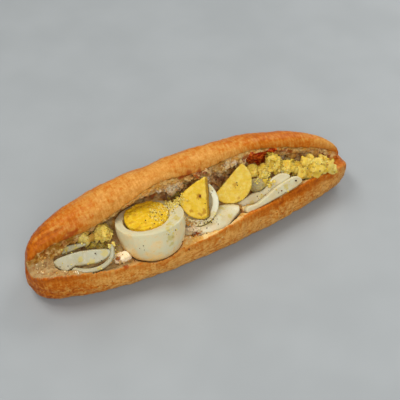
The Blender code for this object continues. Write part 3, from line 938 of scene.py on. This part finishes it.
def smooth_out(mesh, chosen, rounds):
    """Evens out the chosen vertices of a mesh."""
    work = bmesh.new()
    work.from_mesh(mesh)
    even = [vertex for vertex, wanted in zip(work.verts, chosen) if wanted]
    for _ in range(rounds):
        bmesh.ops.smooth_vert(work, verts=even, factor=0.5, use_axis_x=True, use_axis_y=True, use_axis_z=True)
    work.to_mesh(mesh)
    work.free()


def egg_piece(node, voxel, relief, finish, slot):
    """One piece of egg with its relief and finish, standing for its frame solid."""
    mesh = fine_mesh(node, voxel, EGG_ROUNDS)
    if node == "egg_half_white":
        smooth_out(mesh, np.ones(len(mesh.vertices)), RIM_ROUNDS)
        smooth_out(mesh, normals_of(mesh) @ EGG_AXIS < WALL_FACING, WALL_ROUNDS)
    push(mesh, relief(points_of(mesh)))
    for name in EGG_MARKS:
        mark(mesh, name, np.zeros(len(mesh.vertices)))
    mesh.materials.append(finish)
    return add_piece(node + "_cooked", mesh, slot, node)


WHITES = {
    "egg_half_white": (0.5, big_white),
    "boat_white": (0.4, soft_white),
    "middle_white": (0.45, soft_white),
    "right_ring_white": (0.42, soft_white),
    "right_slab_white": (0.42, soft_white),
    "left_thick_slice": (0.42, slice_white_painted_shade),
    "left_thin_slice": (0.42, slice_white_painted_shade),
    "left_ring_slice": (0.42, slice_white_painted_shade),
}
YOLKS = {
    "egg_half_yolk": (0.42, rich_yolk, big_yolk_relief),
    "boat_yolk": (0.4, wedge_yolk, yolk_relief),
    "half_moon_yolk": (0.4, pale_yolk, yolk_relief),
    "yolk_lump_left_front": (0.36, wedge_yolk, lump_relief),
    "yolk_lump_left_back": (0.36, pale_yolk, lump_relief),
    "yolk_lump_middle": (0.36, pale_yolk, block_relief),
    "yolk_skin_piece": (0.36, pale_yolk, block_relief),
    "yolk_lump_back_top": (0.36, pale_yolk, lump_relief),
    "yolk_lump_back_left": (0.36, pale_yolk, lump_relief),
    "yolk_lump_back_right": (0.36, pale_yolk, lump_relief),
    "yolk_heap_right": (0.45, pale_yolk, lump_relief),
}
eggs = {}
for node, (voxel, finish) in WHITES.items():
    eggs[node] = egg_piece(node, voxel, white_relief, finish, "egg_white")
for node, (voxel, finish, relief) in YOLKS.items():
    eggs[node] = egg_piece(node, voxel, relief, finish, "egg_yolk")
print("egg pieces:", len(eggs))

# %% [markdown]
# Some pieces differ in tone from the rest of their kind. The cut top of the big half egg is a little
# darker than its skin, a painted shade on a face that looks up into the light. The flat-topped piece is the
# yolk's own grey-green skin, the rear lump at the left is browned, and both left lumps are painted the
# palest, a painted light against the shadow they lie in near the upper lip. The marks that the materials
# read are filled in here.

# %% Tones of single pieces
egg_mesh = eggs["egg_half_white"].data
# Painted shade on the cut top, which faces up.
mark(egg_mesh, "cut", ease(normals_of(egg_mesh) @ EGG_AXIS, 0.55, 0.9))
skin_mesh = eggs["yolk_skin_piece"].data
mark(skin_mesh, "rind", 0.6 + 0.4 * cloud(points_of(skin_mesh), 4, 101))
back_mesh = eggs["yolk_lump_left_back"].data
mark(back_mesh, "old", 0.75 * ease(cloud(points_of(back_mesh), 6, 102), -0.3, 0.4))
# Painted light: both left lumps are painted their palest, to lift the shadow they lie in near the upper lip.
for node in ("yolk_lump_left_front", "yolk_lump_left_back"):
    mark(eggs[node].data, "tone", np.ones(len(eggs[node].data.vertices)))
print("marks on each piece of egg:", ", ".join(EGG_MARKS))

# %% [markdown]
# ## A loose block of crumb
# A small cube of the bread's inside has fallen between the egg and the slices. It's the same sponge as the
# cut faces, so it takes the same finish, all of it crumb.

# %% Crumb block
BLOCK_VOXEL = 0.4
BLOCK_ROUNDS = 3

block_mesh = fine_mesh("crumb_block", BLOCK_VOXEL, BLOCK_ROUNDS)
block_points = points_of(block_mesh)
block_bubbles = 0.6 * ease(cells(block_points, 1.8, 95)[0], 0.42, 0.1)
push(block_mesh, 0.5 * cloud(block_points, 3, 98) + 0.3 * chips(block_points, 2.2, 99) - block_bubbles)
mark(block_mesh, "crumb", np.ones(len(block_points)))
# Painted shade in the block's bubbles.
mark(block_mesh, "pore", block_bubbles * 0.6)
mark(block_mesh, "pale", 0.75 + 0.25 * cloud(block_points, 4, 97))
for blank in ("brown", "edge", "deep", "low"):
    mark(block_mesh, blank, np.zeros(len(block_points)))
block_mesh.materials.append(bread_material)
add_piece("crumb_block_torn", block_mesh, "bread_crumb", "crumb_block")
print("crumb block:", len(block_mesh.polygons), "faces")

# %% [markdown]
# ## Stains and smears
# Sauce has soaked into the bread here and there, yolk has rubbed off on the white, and the cut yolk has
# small browned spots. Two of the stains, under the upper lip's edge, are a painted shadow, and the spots
# along the big yolk's left and lower rim are a painted shadow line. The places are read off the photo:
# each is a place in the picture and a reach in mm, and the camera's line of sight finds the point of the
# surface it belongs to. Each spot's outline is made ragged with noise. The wedge's narrow right side is
# darkened all over, a painted shade on that side face.

# %% Stain the bread and smear the white
# Real sauce stains, except (120, 210) and (128, 206) under the upper lip's edge, which are a painted shadow.
SAUCE_STAINS_AND_LIP_SHADOW = (
    (181, 177, 3.0), (189, 174, 3.6), (197, 173, 3.8), (205, 171, 3.4), (146, 197, 3.0), (152, 196, 3.0),
    (120, 210, 2.0), (128, 206, 2.0), (283, 151, 3.6), (289, 152, 3.0), (295, 153, 2.6), (322, 155, 2.4),
    (328, 156, 2.0), (66, 238, 2.8), (71, 234, 3.0), (76, 231, 2.2), (118, 259, 2.2), (196, 234, 2.6),
    (259, 157, 10), (270, 151, 6), (246, 158, 4), (290, 161, 3.5), (312, 171, 1.6), (126, 267, 2.2),
)
YOLK_SMEARS = (
    (170, 224, 3.0), (176, 218, 3.2), (171, 238, 3.2), (168, 228, 2.0), (172, 244, 2.2), (178, 204, 5.0),
    (173, 200, 4.0), (166, 203, 3.2), (212, 184, 3.2), (211, 189, 2.0), (194, 223, 2.2), (207, 221, 3.0),
    (213, 214, 2.2), (222, 208, 2.6), (186, 219, 3.0), (191, 222, 3.2), (198, 224, 2.6), (205, 223, 2.2),
    (230, 216, 2.0), (92, 262, 2.4), (80, 259, 2.0), (66, 248, 2.0), (76, 249, 2.0), (104, 253, 3.0),
    (100, 268, 1.8), (262, 196, 2.0), (252, 203, 1.8), (286, 186, 2.4),
)
# Most are browned spots; those along the big yolk's left and lower rim are a painted shadow line.
BROWN_SPOTS_AND_RIM_SHADE = (
    (205, 212, 2.2), (200, 214.5, 1.6), (191, 211, 1.4), (234.5, 184.5, 1.5), (199, 196.5, 1.8),
    (218, 199, 1.4), (239, 198, 1.2), (126, 208, 2.0), (127, 216, 2.0), (131, 223, 2.2), (139, 228, 2.4),
    (149, 230, 2.0), (160, 227, 2.2), (141, 207, 1.2), (152, 217, 1.8), (146, 223, 1.2), (160, 214, 1.6),
    (164, 221, 2.0), (135, 215, 1.2), (156, 209, 2.2), (150, 206, 1.8), (158, 220, 1.8), (163, 208, 2.0),
    (148, 212, 1.4), (154, 225, 1.6),
)
STAIN_DEPTH = 0.75
SMEAR_DEPTH = 0.6
BROWNING_AND_SHADE_DEPTHS = {"egg_half_yolk": 0.5, "boat_yolk": 0.7, "half_moon_yolk": 0.6}
SIDE_FACE_PAINTED_SHADE = 0.7


def marked_spots(listed):
    """The listed places on the surfaces that the camera sees, as (point, reach in mm) pairs."""
    seen = ((seen_at(across, down), reach) for across, down, reach in listed)
    return [(found[0], reach) for found, reach in seen if found]


stains_and_lip_shadow = marked_spots(SAUCE_STAINS_AND_LIP_SHADOW)
smears = marked_spots(YOLK_SMEARS)
brown_spots_and_rim_shade = marked_spots(BROWN_SPOTS_AND_RIM_SHADE)
for mesh in (roll_mesh, block_mesh):
    mark(mesh, "stain", STAIN_DEPTH * close_to(points_of(mesh), stains_and_lip_shadow))
for node in WHITES:
    mesh = eggs[node].data
    mark(mesh, "smear", SMEAR_DEPTH * close_to(points_of(mesh), smears, 0.5))
for node, depth in BROWNING_AND_SHADE_DEPTHS.items():
    mesh = eggs[node].data
    old = depth * close_to(points_of(mesh), brown_spots_and_rim_shade, 0.6)
    if node == "boat_yolk":
        # Painted shade: the wedge's right side face is darkened all over.
        old = np.maximum(old, SIDE_FACE_PAINTED_SHADE * ease(normals_of(mesh)[:, 0], 0.4, 0.7))
    mark(mesh, "old", old)
print("stains:", len(stains_and_lip_shadow), "smears:", len(smears), "old spots:", len(brown_spots_and_rim_shade))

# %% [markdown]
# ## Crumbs, grains and specks
# Loose bits are scattered, not placed one by one. A few unit-sized bits are shaped first: a ball is
# stretched, then cut flat on several sides, which gives the broken corners of dry yolk or ground pepper.
# A scatter lays turned and scaled copies of them on whatever surface the camera sees at random places
# around a spot, sunk in a little so that they lie on it, and joins them into one mesh. A few of the yolk's
# bits keep some rind, and a few are browned. Chance starts from a fixed seed, so that every run gives the
# same sandwich, and it starts anew in each of the later scatters, so that a change to one of them leaves
# the others as they were.

# %% Scatter helper
FIRST_SEED = 24
BIT_STRETCH = (0.7, 1.2)
BIT_CUT_DEPTH = (0.4, 0.75)
BIT_SWELL = 0.6
BIT_SWELL_SEED = 200
SMALL_OFTEN = 1.6
WITHOUT_RIND = 0.97
WITHOUT_BROWN = 0.93
SURELY_CRUMB = -1.0
chance = np.random.default_rng(FIRST_SEED)


def bits(count, rounds, cuts, uneven):
    """Unit-sized broken bits: their points, and the faces that they all share."""
    ball = bmesh.new()
    bmesh.ops.create_icosphere(ball, subdivisions=rounds, radius=1)
    points = np.array([vertex.co for vertex in ball.verts])
    faces = np.array([[vertex.index for vertex in face.verts] for face in ball.faces])
    ball.free()
    shapes = []
    for number in range(count):
        shape = points * chance.uniform(*BIT_STRETCH, 3)
        for side in chance.normal(size=(cuts, 3)):
            side /= np.linalg.norm(side)
            beyond = np.maximum(0, shape @ side - chance.uniform(*BIT_CUT_DEPTH))
            shape = shape - beyond[:, None] * side
        shapes.append(shape * (1 + uneven * cloud(shape * MM, BIT_SWELL, BIT_SWELL_SEED + number))[:, None])
    return shapes, faces


def lay(name, kind, places, finish, slot, *nodes, lift=0.25):
    """One piece of many bits of a kind; each place is (point, facing, size in mm), and lift is in sizes."""
    shapes, faces = kind
    rows = []
    for number, (point, facing, size) in enumerate(places):
        turn = np.array(Euler(chance.uniform(0, math.tau, 3)).to_matrix())
        rows.append(shapes[number % len(shapes)] @ turn * size / 2 * MM + point + facing * size * lift * MM)
    mesh = bpy.data.meshes.new(name)
    joined = np.concatenate([faces + len(shapes[0]) * number for number in range(len(places))])
    mesh.from_pydata(np.concatenate(rows).tolist(), [], joined.tolist())
    tone, rind, brown = chance.uniform(0, 1, (3, len(places)))
    mark(mesh, "tone", np.repeat(tone, len(shapes[0])))
    mark(mesh, "rind", np.repeat(rind > WITHOUT_RIND, len(shapes[0])) * 0.6)
    mark(mesh, "old", np.repeat(brown > WITHOUT_BROWN, len(shapes[0])) * 0.5)
    mesh.materials.append(finish)
    return add_piece(name, mesh, slot, *nodes)


def strewn(areas, sizes, only=None):
    """Random places around each area's middle: (across, down, reach across, reach down, how many)."""
    small, large = sizes
    places = []
    for across, down, wide, tall, count in areas:
        for step in chance.normal(0, 0.5, (count, 2)):
            found = seen_at(across + wide * step[0], down + tall * step[1])
            if found and (only is None or any(word in found[2] for word in only)):
                places.append((found[0], found[1], small + (large - small) * chance.random() ** SMALL_OFTEN))
    return places


def off_the_crust(places):
    """Those of the places that aren't on the crust or right beside it."""
    from_edge = distance_from_cut(np.array([place[0] for place in places]))
    return [place for place, distance in zip(places, from_edge) if distance <= SURELY_CRUMB]


chunk = bits(count=12, rounds=3, cuts=12, uneven=0.14)
grain = bits(count=12, rounds=2, cuts=6, uneven=0.2)
speck = bits(count=8, rounds=1, cuts=4, uneven=0.1)
print("faces of a chunk, a grain and a speck:", [len(kind[1]) for kind in (chunk, grain, speck)])

# %% [markdown]
# ## Broken yolk behind the slices
# Between the half-moon and the heap, behind the slices at the left and over the far rim of the big half
# egg lies yolk in chunks of 2 to 5 mm and grains of 1 to 2 mm, which fill the gaps between the larger
# lumps. The chunks are laid first, so that the grains land on them too. Each area gives its middle in the
# picture, how far it reaches across and down, and how many bits are thrown at it.

# %% Chunks of yolk
CHUNK_AREAS = (
    (265, 172, 6, 4, 9), (267, 181, 5, 6, 14), (263, 178, 4, 3, 6), (281, 169, 7, 3, 7),
    (98, 246, 10, 2.5, 20), (108, 238, 4, 5, 4), (178, 198, 5, 5, 9), (283, 171, 5, 3, 5),
)
CRUMB_AREAS = (
    (265, 174, 8, 6, 26), (268, 183, 5, 5, 22), (272, 164, 7, 7, 18), (282, 168, 8, 5, 20),
    (98, 246, 11, 2, 40), (84, 243, 6, 3, 6), (104, 238, 7, 6, 8), (178, 198, 8, 6, 40),
    (172, 204, 7, 7, 60), (118, 250, 3, 5, 12), (66, 252, 8, 3, 6), (257, 181, 5, 3, 8),
)
CHUNK_SIZES = (2.2, 4.6)
GRAIN_SIZES = (0.8, 1.9)

chunk_places = off_the_crust(strewn(CHUNK_AREAS, CHUNK_SIZES))
lay("yolk_crumbled_chunks", chunk, chunk_places, pale_yolk, "yolk_crumble", lift=0.15)
grain_places = off_the_crust(strewn(CRUMB_AREAS, GRAIN_SIZES))
lay("yolk_crumbled_grains", grain, grain_places, pale_yolk, "yolk_crumble")
print("yolk chunks:", len(chunk_places), "grains:", len(grain_places))

# %% [markdown]
# ## The heap at the right
# The heap's solid only gives its outline. Its core stays, drawn in a little. Large mashed chunks, more
# than half sunk in, cover all of it that faces up or outwards, with grains between them, so that it reads
# as crumbled yolk from every side. They are strewn over the core's own surface, because a scatter through
# the camera would leave its far side bare.

# %% Chunks over the heap
HEAP_SEED = 7
HEAP_CHUNKS = 24
HEAP_CHUNK_SIZES = (6.0, 12.0)
HEAP_GRAINS = 60
HEAP_GRAIN_SIZES = (0.9, 2.0)
CORE_SHRINK = 0.7
LOWEST_FACING = -0.2
chance = np.random.default_rng(HEAP_SEED)


def over_surface(mesh, count, sizes):
    """Random places on the sides of a mesh that face up or outwards."""
    points, normals = points_of(mesh), normals_of(mesh)
    free = np.flatnonzero(normals[:, 2] > LOWEST_FACING)
    chosen = chance.choice(free, count, replace=False)
    return [(points[index], normals[index], chance.uniform(*sizes)) for index in chosen]


core = eggs["yolk_heap_right"].data
push(core, np.full(len(core.vertices), -CORE_SHRINK))
mashed = bits(count=12, rounds=4, cuts=8, uneven=0.46)
heap_places = over_surface(core, HEAP_CHUNKS, HEAP_CHUNK_SIZES)
lay("yolk_heap_right_chunks", mashed, heap_places, pale_yolk, "yolk_crumble", "yolk_heap_right", lift=-0.16)
heap_places = over_surface(core, HEAP_GRAINS, HEAP_GRAIN_SIZES)
lay("yolk_heap_right_grains", grain, heap_places, pale_yolk, "yolk_crumble")
print("heap:", HEAP_CHUNKS, "chunks and", HEAP_GRAINS, "grains over its core")

# %% [markdown]
# ## Fine grains on the egg
# The knife dragged yolk over the big half egg's cut face and its right rim, where it lies as fine pale
# grains. A few more lie on every other piece of egg. They stay off the bread, where they would not show.

# %% Fine grains
FINE_SEED = 8
FINE_SIZES = (0.4, 1.5)
NOT_BREAD = ("egg", "yolk", "white", "slice", "crumbled")
FINE_AREAS = (
    (158, 213, 11, 10, 170), (170, 206, 7, 9, 150), (178, 201, 7, 6, 90), (173, 230, 7, 12, 14),
    (206, 221, 13, 4, 18), (211, 186, 3, 5, 10), (214, 216, 8, 8, 10), (60, 265, 8, 6, 6),
    (93, 266, 20, 6, 14), (115, 262, 7, 5, 16), (262, 198, 14, 7, 10), (285, 188, 12, 6, 14),
)

chance = np.random.default_rng(FINE_SEED)
fine_places = strewn(FINE_AREAS, FINE_SIZES, NOT_BREAD)
lay("yolk_crumbled_fine", speck, fine_places, crumb_yolk, "yolk_crumble", lift=0.1)
print("fine grains of yolk:", len(fine_places))

# %% [markdown]
# ## Ground pepper
# Pepper was ground over everything, and most of it landed on the big egg and the boat. The largest specks
# are put where the photo shows them, the rest is strewn over the egg, because it would be lost on the
# bread. A peppercorn breaks into dark skin and paler insides, so the specks run from near black to light
# brown.

# %% Ground pepper
PEPPER_SIZES = (0.3, 1.15)
PEPPER_AREAS = (
    (158, 214, 11, 10, 34), (170, 209, 8, 10, 18), (203, 221, 13, 4, 12), (204, 208, 7, 10, 6),
    (212, 192, 3, 10, 5), (216, 222, 14, 8, 8), (172, 234, 7, 12, 6), (150, 250, 20, 8, 3),
    (233, 185, 8, 10, 4), (275, 193, 20, 8, 18), (95, 254, 20, 6, 6), (104, 236, 8, 7, 3),
    (80, 266, 18, 5, 6), (310, 168, 18, 5, 8), (190, 240, 16, 6, 4),
)
PEPPER_SPECKS = (
    (200, 196, 2.4), (211.5, 222.5, 1.1), (207, 228, 1.2), (207, 233.5, 1.1), (189, 249, 1.5),
    (134.5, 261, 1.2), (152.5, 212.5, 1.2), (145.5, 220.5, 1.1), (150, 228, 1.1), (272, 201, 1.4),
    (295.6, 180.6, 1.5), (193.5, 236.5, 1.2), (182, 241.5, 1.0), (189.5, 227, 1.0), (203, 219, 1.0),
    (237, 183, 1.0),
)


def pepper_finish():
    """Ground pepper, each speck in its own tone."""
    pepper = Finish("ground_pepper", Roughness=0.7, Specular_IOR_Level=0.3)
    shade = pepper.sum("ADD", pepper.mark("tone"), pepper.span(pepper.grain(0.3), 0.3, 0.7, -0.2, 0.2))
    dark, middle, light = colour(40, 18, 6), colour(96, 46, 12), colour(150, 92, 30)
    pepper.set(Base_Color=pepper.ramp(shade, (0.0, dark), (0.7, middle), (1.0, light)))
    return pepper.material


pepper_places = [(*seen_at(across, down)[:2], size) for across, down, size in PEPPER_SPECKS]
pepper_places += strewn(PEPPER_AREAS, PEPPER_SIZES, NOT_BREAD)
lay("pepper_ground", speck, pepper_places, pepper_finish(), None)
print("specks of pepper:", len(pepper_places))

# %% [markdown]
# ## Torn lumps and crumbs of bread
# Where the halves were pulled apart, lumps of crumb hang from the upper one and fill the space behind the
# egg. Tearing also left crumbs along both lips, around the loose block and on the low egg under the boat.
# The dark crumbs laid along the shadow line under the boat and in a dark hole to its right are a painted
# shadow. The lumps are bits with a very uneven outline and the crumbs are grains, and all are pushed in
# and out once more so that they look torn. They take the bread's own finish, all of it crumb, in the tone
# of the torn face behind them; their pale patches are partly a painted highlight and their dark patches a
# painted shade.

# %% Bread crumbs
BREAD_SEED = 9
TORN_SIZES = (3.2, 6.6)
CRUMB_SIZES = (0.7, 1.8)
CRUMB_ON_EGG_SIZES = (0.9, 2.4)
TORN_AREAS = (
    (192, 174, 12, 5, 20), (222, 168, 13, 6, 26), (222, 180, 11, 8, 26), (168, 190, 10, 5, 16),
    (205, 176, 8, 8, 12), (240, 164, 6, 4, 8), (292, 158, 8, 4, 10), (318, 153, 18, 3, 16),
    (178, 188, 8, 7, 14), (212, 190, 4, 6, 6), (115, 222, 8, 6, 8),
)
BREAD_AREAS = (
    (190, 222, 8, 4, 20), (192, 232, 10, 6, 24), (121, 260, 9, 5, 24), (170, 188, 14, 5, 30),
    (200, 172, 16, 4, 26), (225, 168, 12, 8, 40), (320, 155, 20, 4, 30), (42, 262, 14, 12, 24),
    (80, 273, 24, 2, 12), (292, 160, 8, 4, 14),
)
CRUMBS_ON_EGG = ((194, 230, 8, 4, 56),)
SHADOW_CRUMB_AREAS = ((186, 219, 3, 3, 20), (191, 223, 5, 2.4, 34), (197, 234, 6, 2, 22), (241, 209, 3, 4, 16))
BREAD = ("bread", "block")
LOW_EGG = ("middle_white", "boat_white", "bread")
chance = np.random.default_rng(BREAD_SEED)


def lay_bread(name, kind, places, lift, pale, deep, edge):
    """A piece of bread bits; pale, deep and edge say how strongly its patches take each of those tones."""
    mesh = lay(name, kind, places, bread_material, "bread_crumb", lift=lift).data
    points = points_of(mesh)
    push(mesh, 0.9 * breaks(points, 1.6, 142) - 0.7 * ease(cells(points, 1.3, 143)[0], 0.45, 0.15))
    mark(mesh, "crumb", np.ones(len(points)))
    # Painted shade in the bits' bubbles.
    mark(mesh, "pore", 0.8 * ease(cells(points, 1.6, 141)[0], 0.4, 0.1))
    # The pale patches are partly a painted highlight and the deep patches a painted shade.
    for tone, spots, share, seed in (("pale", CRUMB_FLAPS, pale, 145), ("deep", CRUMB_HOLLOWS, deep, 146)):
        patches = share * ease(cloud(points, 7, seed), -0.2, 0.8)
        mark(mesh, tone, np.maximum(patches, close_to(points, on_the_roll(spots), 0.5)))
    mark(mesh, "edge", edge * ease(cloud(points, 9, 144), -0.2, 0.8))
    mark(mesh, "stain", STAIN_DEPTH * close_to(points, stains_and_lip_shadow))
    for blank in ("brown", "low"):
        mark(mesh, blank, np.zeros(len(points)))


torn = bits(count=10, rounds=3, cuts=6, uneven=0.5)
torn_places = off_the_crust(strewn(TORN_AREAS, TORN_SIZES, BREAD))
lay_bread("bread_crumb_torn", torn, torn_places, lift=-0.06, pale=0.4, deep=0.45, edge=0.5)
loose_places = strewn(BREAD_AREAS, CRUMB_SIZES, BREAD)
loose_places = off_the_crust(loose_places + strewn(CRUMBS_ON_EGG, CRUMB_ON_EGG_SIZES, LOW_EGG))
lay_bread("bread_crumbs_loose", grain, loose_places, lift=0.15, pale=0.9, deep=0.1, edge=0.2)
# Painted shadow: dark crumbs along the shadow line under the boat and in a dark hole.
shadow_crumb_places = off_the_crust(strewn(SHADOW_CRUMB_AREAS, CRUMB_SIZES, LOW_EGG))
lay_bread("bread_crumbs_brown", grain, shadow_crumb_places, lift=0.1, pale=0.0, deep=0.95, edge=0.8)
print("torn lumps:", len(torn_places), "crumbs:", len(loose_places), "browned:", len(shadow_crumb_places))

# %% [markdown]
# ## Chilli sauce
# A spoonful of dark red sauce clings under the upper lip and runs over the crumb. A liquid that wets a
# surface takes its shape, so the sauce starts as a copy of the faces it covers, lifted by about a
# millimetre in the middle and sunk at its ragged rim, where it seems to soak in. A second copy lies
# inside the bread, and a wall round the rim joins the two to a closed film. A Solidify modifier would do
# the same on an even sheet, but it throws long spikes on crumb as rough as this.

# %% Sauce
SAUCE_PATCHES = (
    (256, 157, 8.0), (263, 154, 7.0), (270, 151, 4.5), (250, 160, 5.0), (258, 164, 6.0), (275, 150, 2.6),
    (252, 154, 5.0), (263, 160, 5.0), (147, 197, 1.8),
)
FILM_RAGGED = 0.45
FILM_LEAST_COVER = 0.02
FILM_RISE = 1.5
FILM_RIM_SINK = 0.25
FILM_RIPPLE = 0.2
FILM_SINK = 0.8
FILM_ROUNDS = 4


def sauce_finish():
    """Thick glossy chilli sauce with paler seeds in it, and orange patches that are partly painted glints."""
    sauce = Finish("chilli_sauce", Roughness=0.12, Specular_IOR_Level=0.5)
    sauce.set(Coat_Weight=0.5, Coat_Roughness=0.05)
    # Painted highlight: the orange patches are partly orange sauce and partly painted glints.
    shade = sauce.span(sauce.grain(2.2, 4), 0.42, 0.64)
    base = sauce.mix(shade, colour(168, 32, 12), colour(244, 122, 34))
    seeds = sauce.span(sauce.pits(2.4), 0.16, 0.1)
    sauce.set(Base_Color=sauce.mix(seeds, base, colour(214, 120, 40)))
    sauce.set(Normal=sauce.bump(sauce.grain(1.4, 2), 0.5, 0.6))
    sauce.set(Subsurface_Weight=0.15, Subsurface_Scale=2 * MM, Subsurface_Radius=(1.0, 0.2, 0.05))
    return sauce.material


def film_over(mesh, spots, name):
    """A closed film over a mesh near the spots, thickest in the middle and sunk in at its rim."""
    points, normals = points_of(mesh), normals_of(mesh)
    cover = close_to(points, spots, FILM_RAGGED)
    corners = [tuple(face.vertices) for face in mesh.polygons]
    covered = [face for face in corners if min(cover[list(face)]) > FILM_LEAST_COVER]
    kept = sorted({corner for face in covered for corner in face})
    row = {corner: index for index, corner in enumerate(kept)}
    front = [[row[corner] for corner in face] for face in covered]
    back = [[corner + len(kept) for corner in reversed(face)] for face in front]
    sides = {pair for face in front for pair in zip(face, face[1:] + face[:1])}
    rim = sorted((start, end) for start, end in sides if (end, start) not in sides)
    wall = [[end, start, start + len(kept), end + len(kept)] for start, end in rim]
    rise = FILM_RISE * cover[kept] - FILM_RIM_SINK + FILM_RIPPLE * cloud(points[kept], 3, 131)
    above = points[kept] + normals[kept] * (rise * MM)[:, None]
    below = points[kept] - normals[kept] * FILM_SINK * MM
    film = bpy.data.meshes.new(name)
    film.from_pydata(np.concatenate([above, below]).tolist(), [], front + back + wall)
    smooth_out(film, np.arange(len(film.vertices)) < len(kept), FILM_ROUNDS)
    return film


sauce_mesh = film_over(roll_mesh, marked_spots(SAUCE_PATCHES), "chilli_sauce_film")
sauce_mesh.materials.append(sauce_finish())
add_piece("chilli_sauce_film", sauce_mesh, "chilli_sauce")
print("sauce:", len(sauce_mesh.polygons), "faces")

# %% [markdown]
# ## The floor
# A plain pale surface takes the shadow. It belongs to the stage and not to the sandwich.

# %% Floor
FLOOR_HALF = 2.5
FLOOR_DARK = colour(157, 161, 162)
FLOOR_LIGHT = colour(162, 166, 167)

floor_corners = [(x * FLOOR_HALF, y * FLOOR_HALF, 0) for x, y in ((-1, -1), (1, -1), (1, 1), (-1, 1))]
floor_mesh = bpy.data.meshes.new("floor")
floor_mesh.from_pydata(floor_corners, [], [(0, 1, 2, 3)])
floor = bpy.data.objects.new("floor", floor_mesh)
SCENE.collection.objects.link(floor)
floor_finish = Finish("pale_floor", Roughness=0.5, Specular_IOR_Level=0.3)
tint = floor_finish.span(floor_finish.grain(60, 2), 0.3, 0.7)
floor_finish.set(Base_Color=floor_finish.mix(tint, FLOOR_DARK, FLOOR_LIGHT))
floor_mesh.materials.append(floor_finish.material)
floor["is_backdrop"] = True
print("floor:", 2 * FLOOR_HALF, "m wide")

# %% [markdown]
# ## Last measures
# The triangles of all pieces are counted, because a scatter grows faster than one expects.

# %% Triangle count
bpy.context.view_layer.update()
counts = {o.name: sum(len(p.vertices) - 2 for p in o.data.polygons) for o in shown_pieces()}
print("triangles:", sum(counts.values()), "in", len(counts), "pieces, most in one:", max(counts.values()))
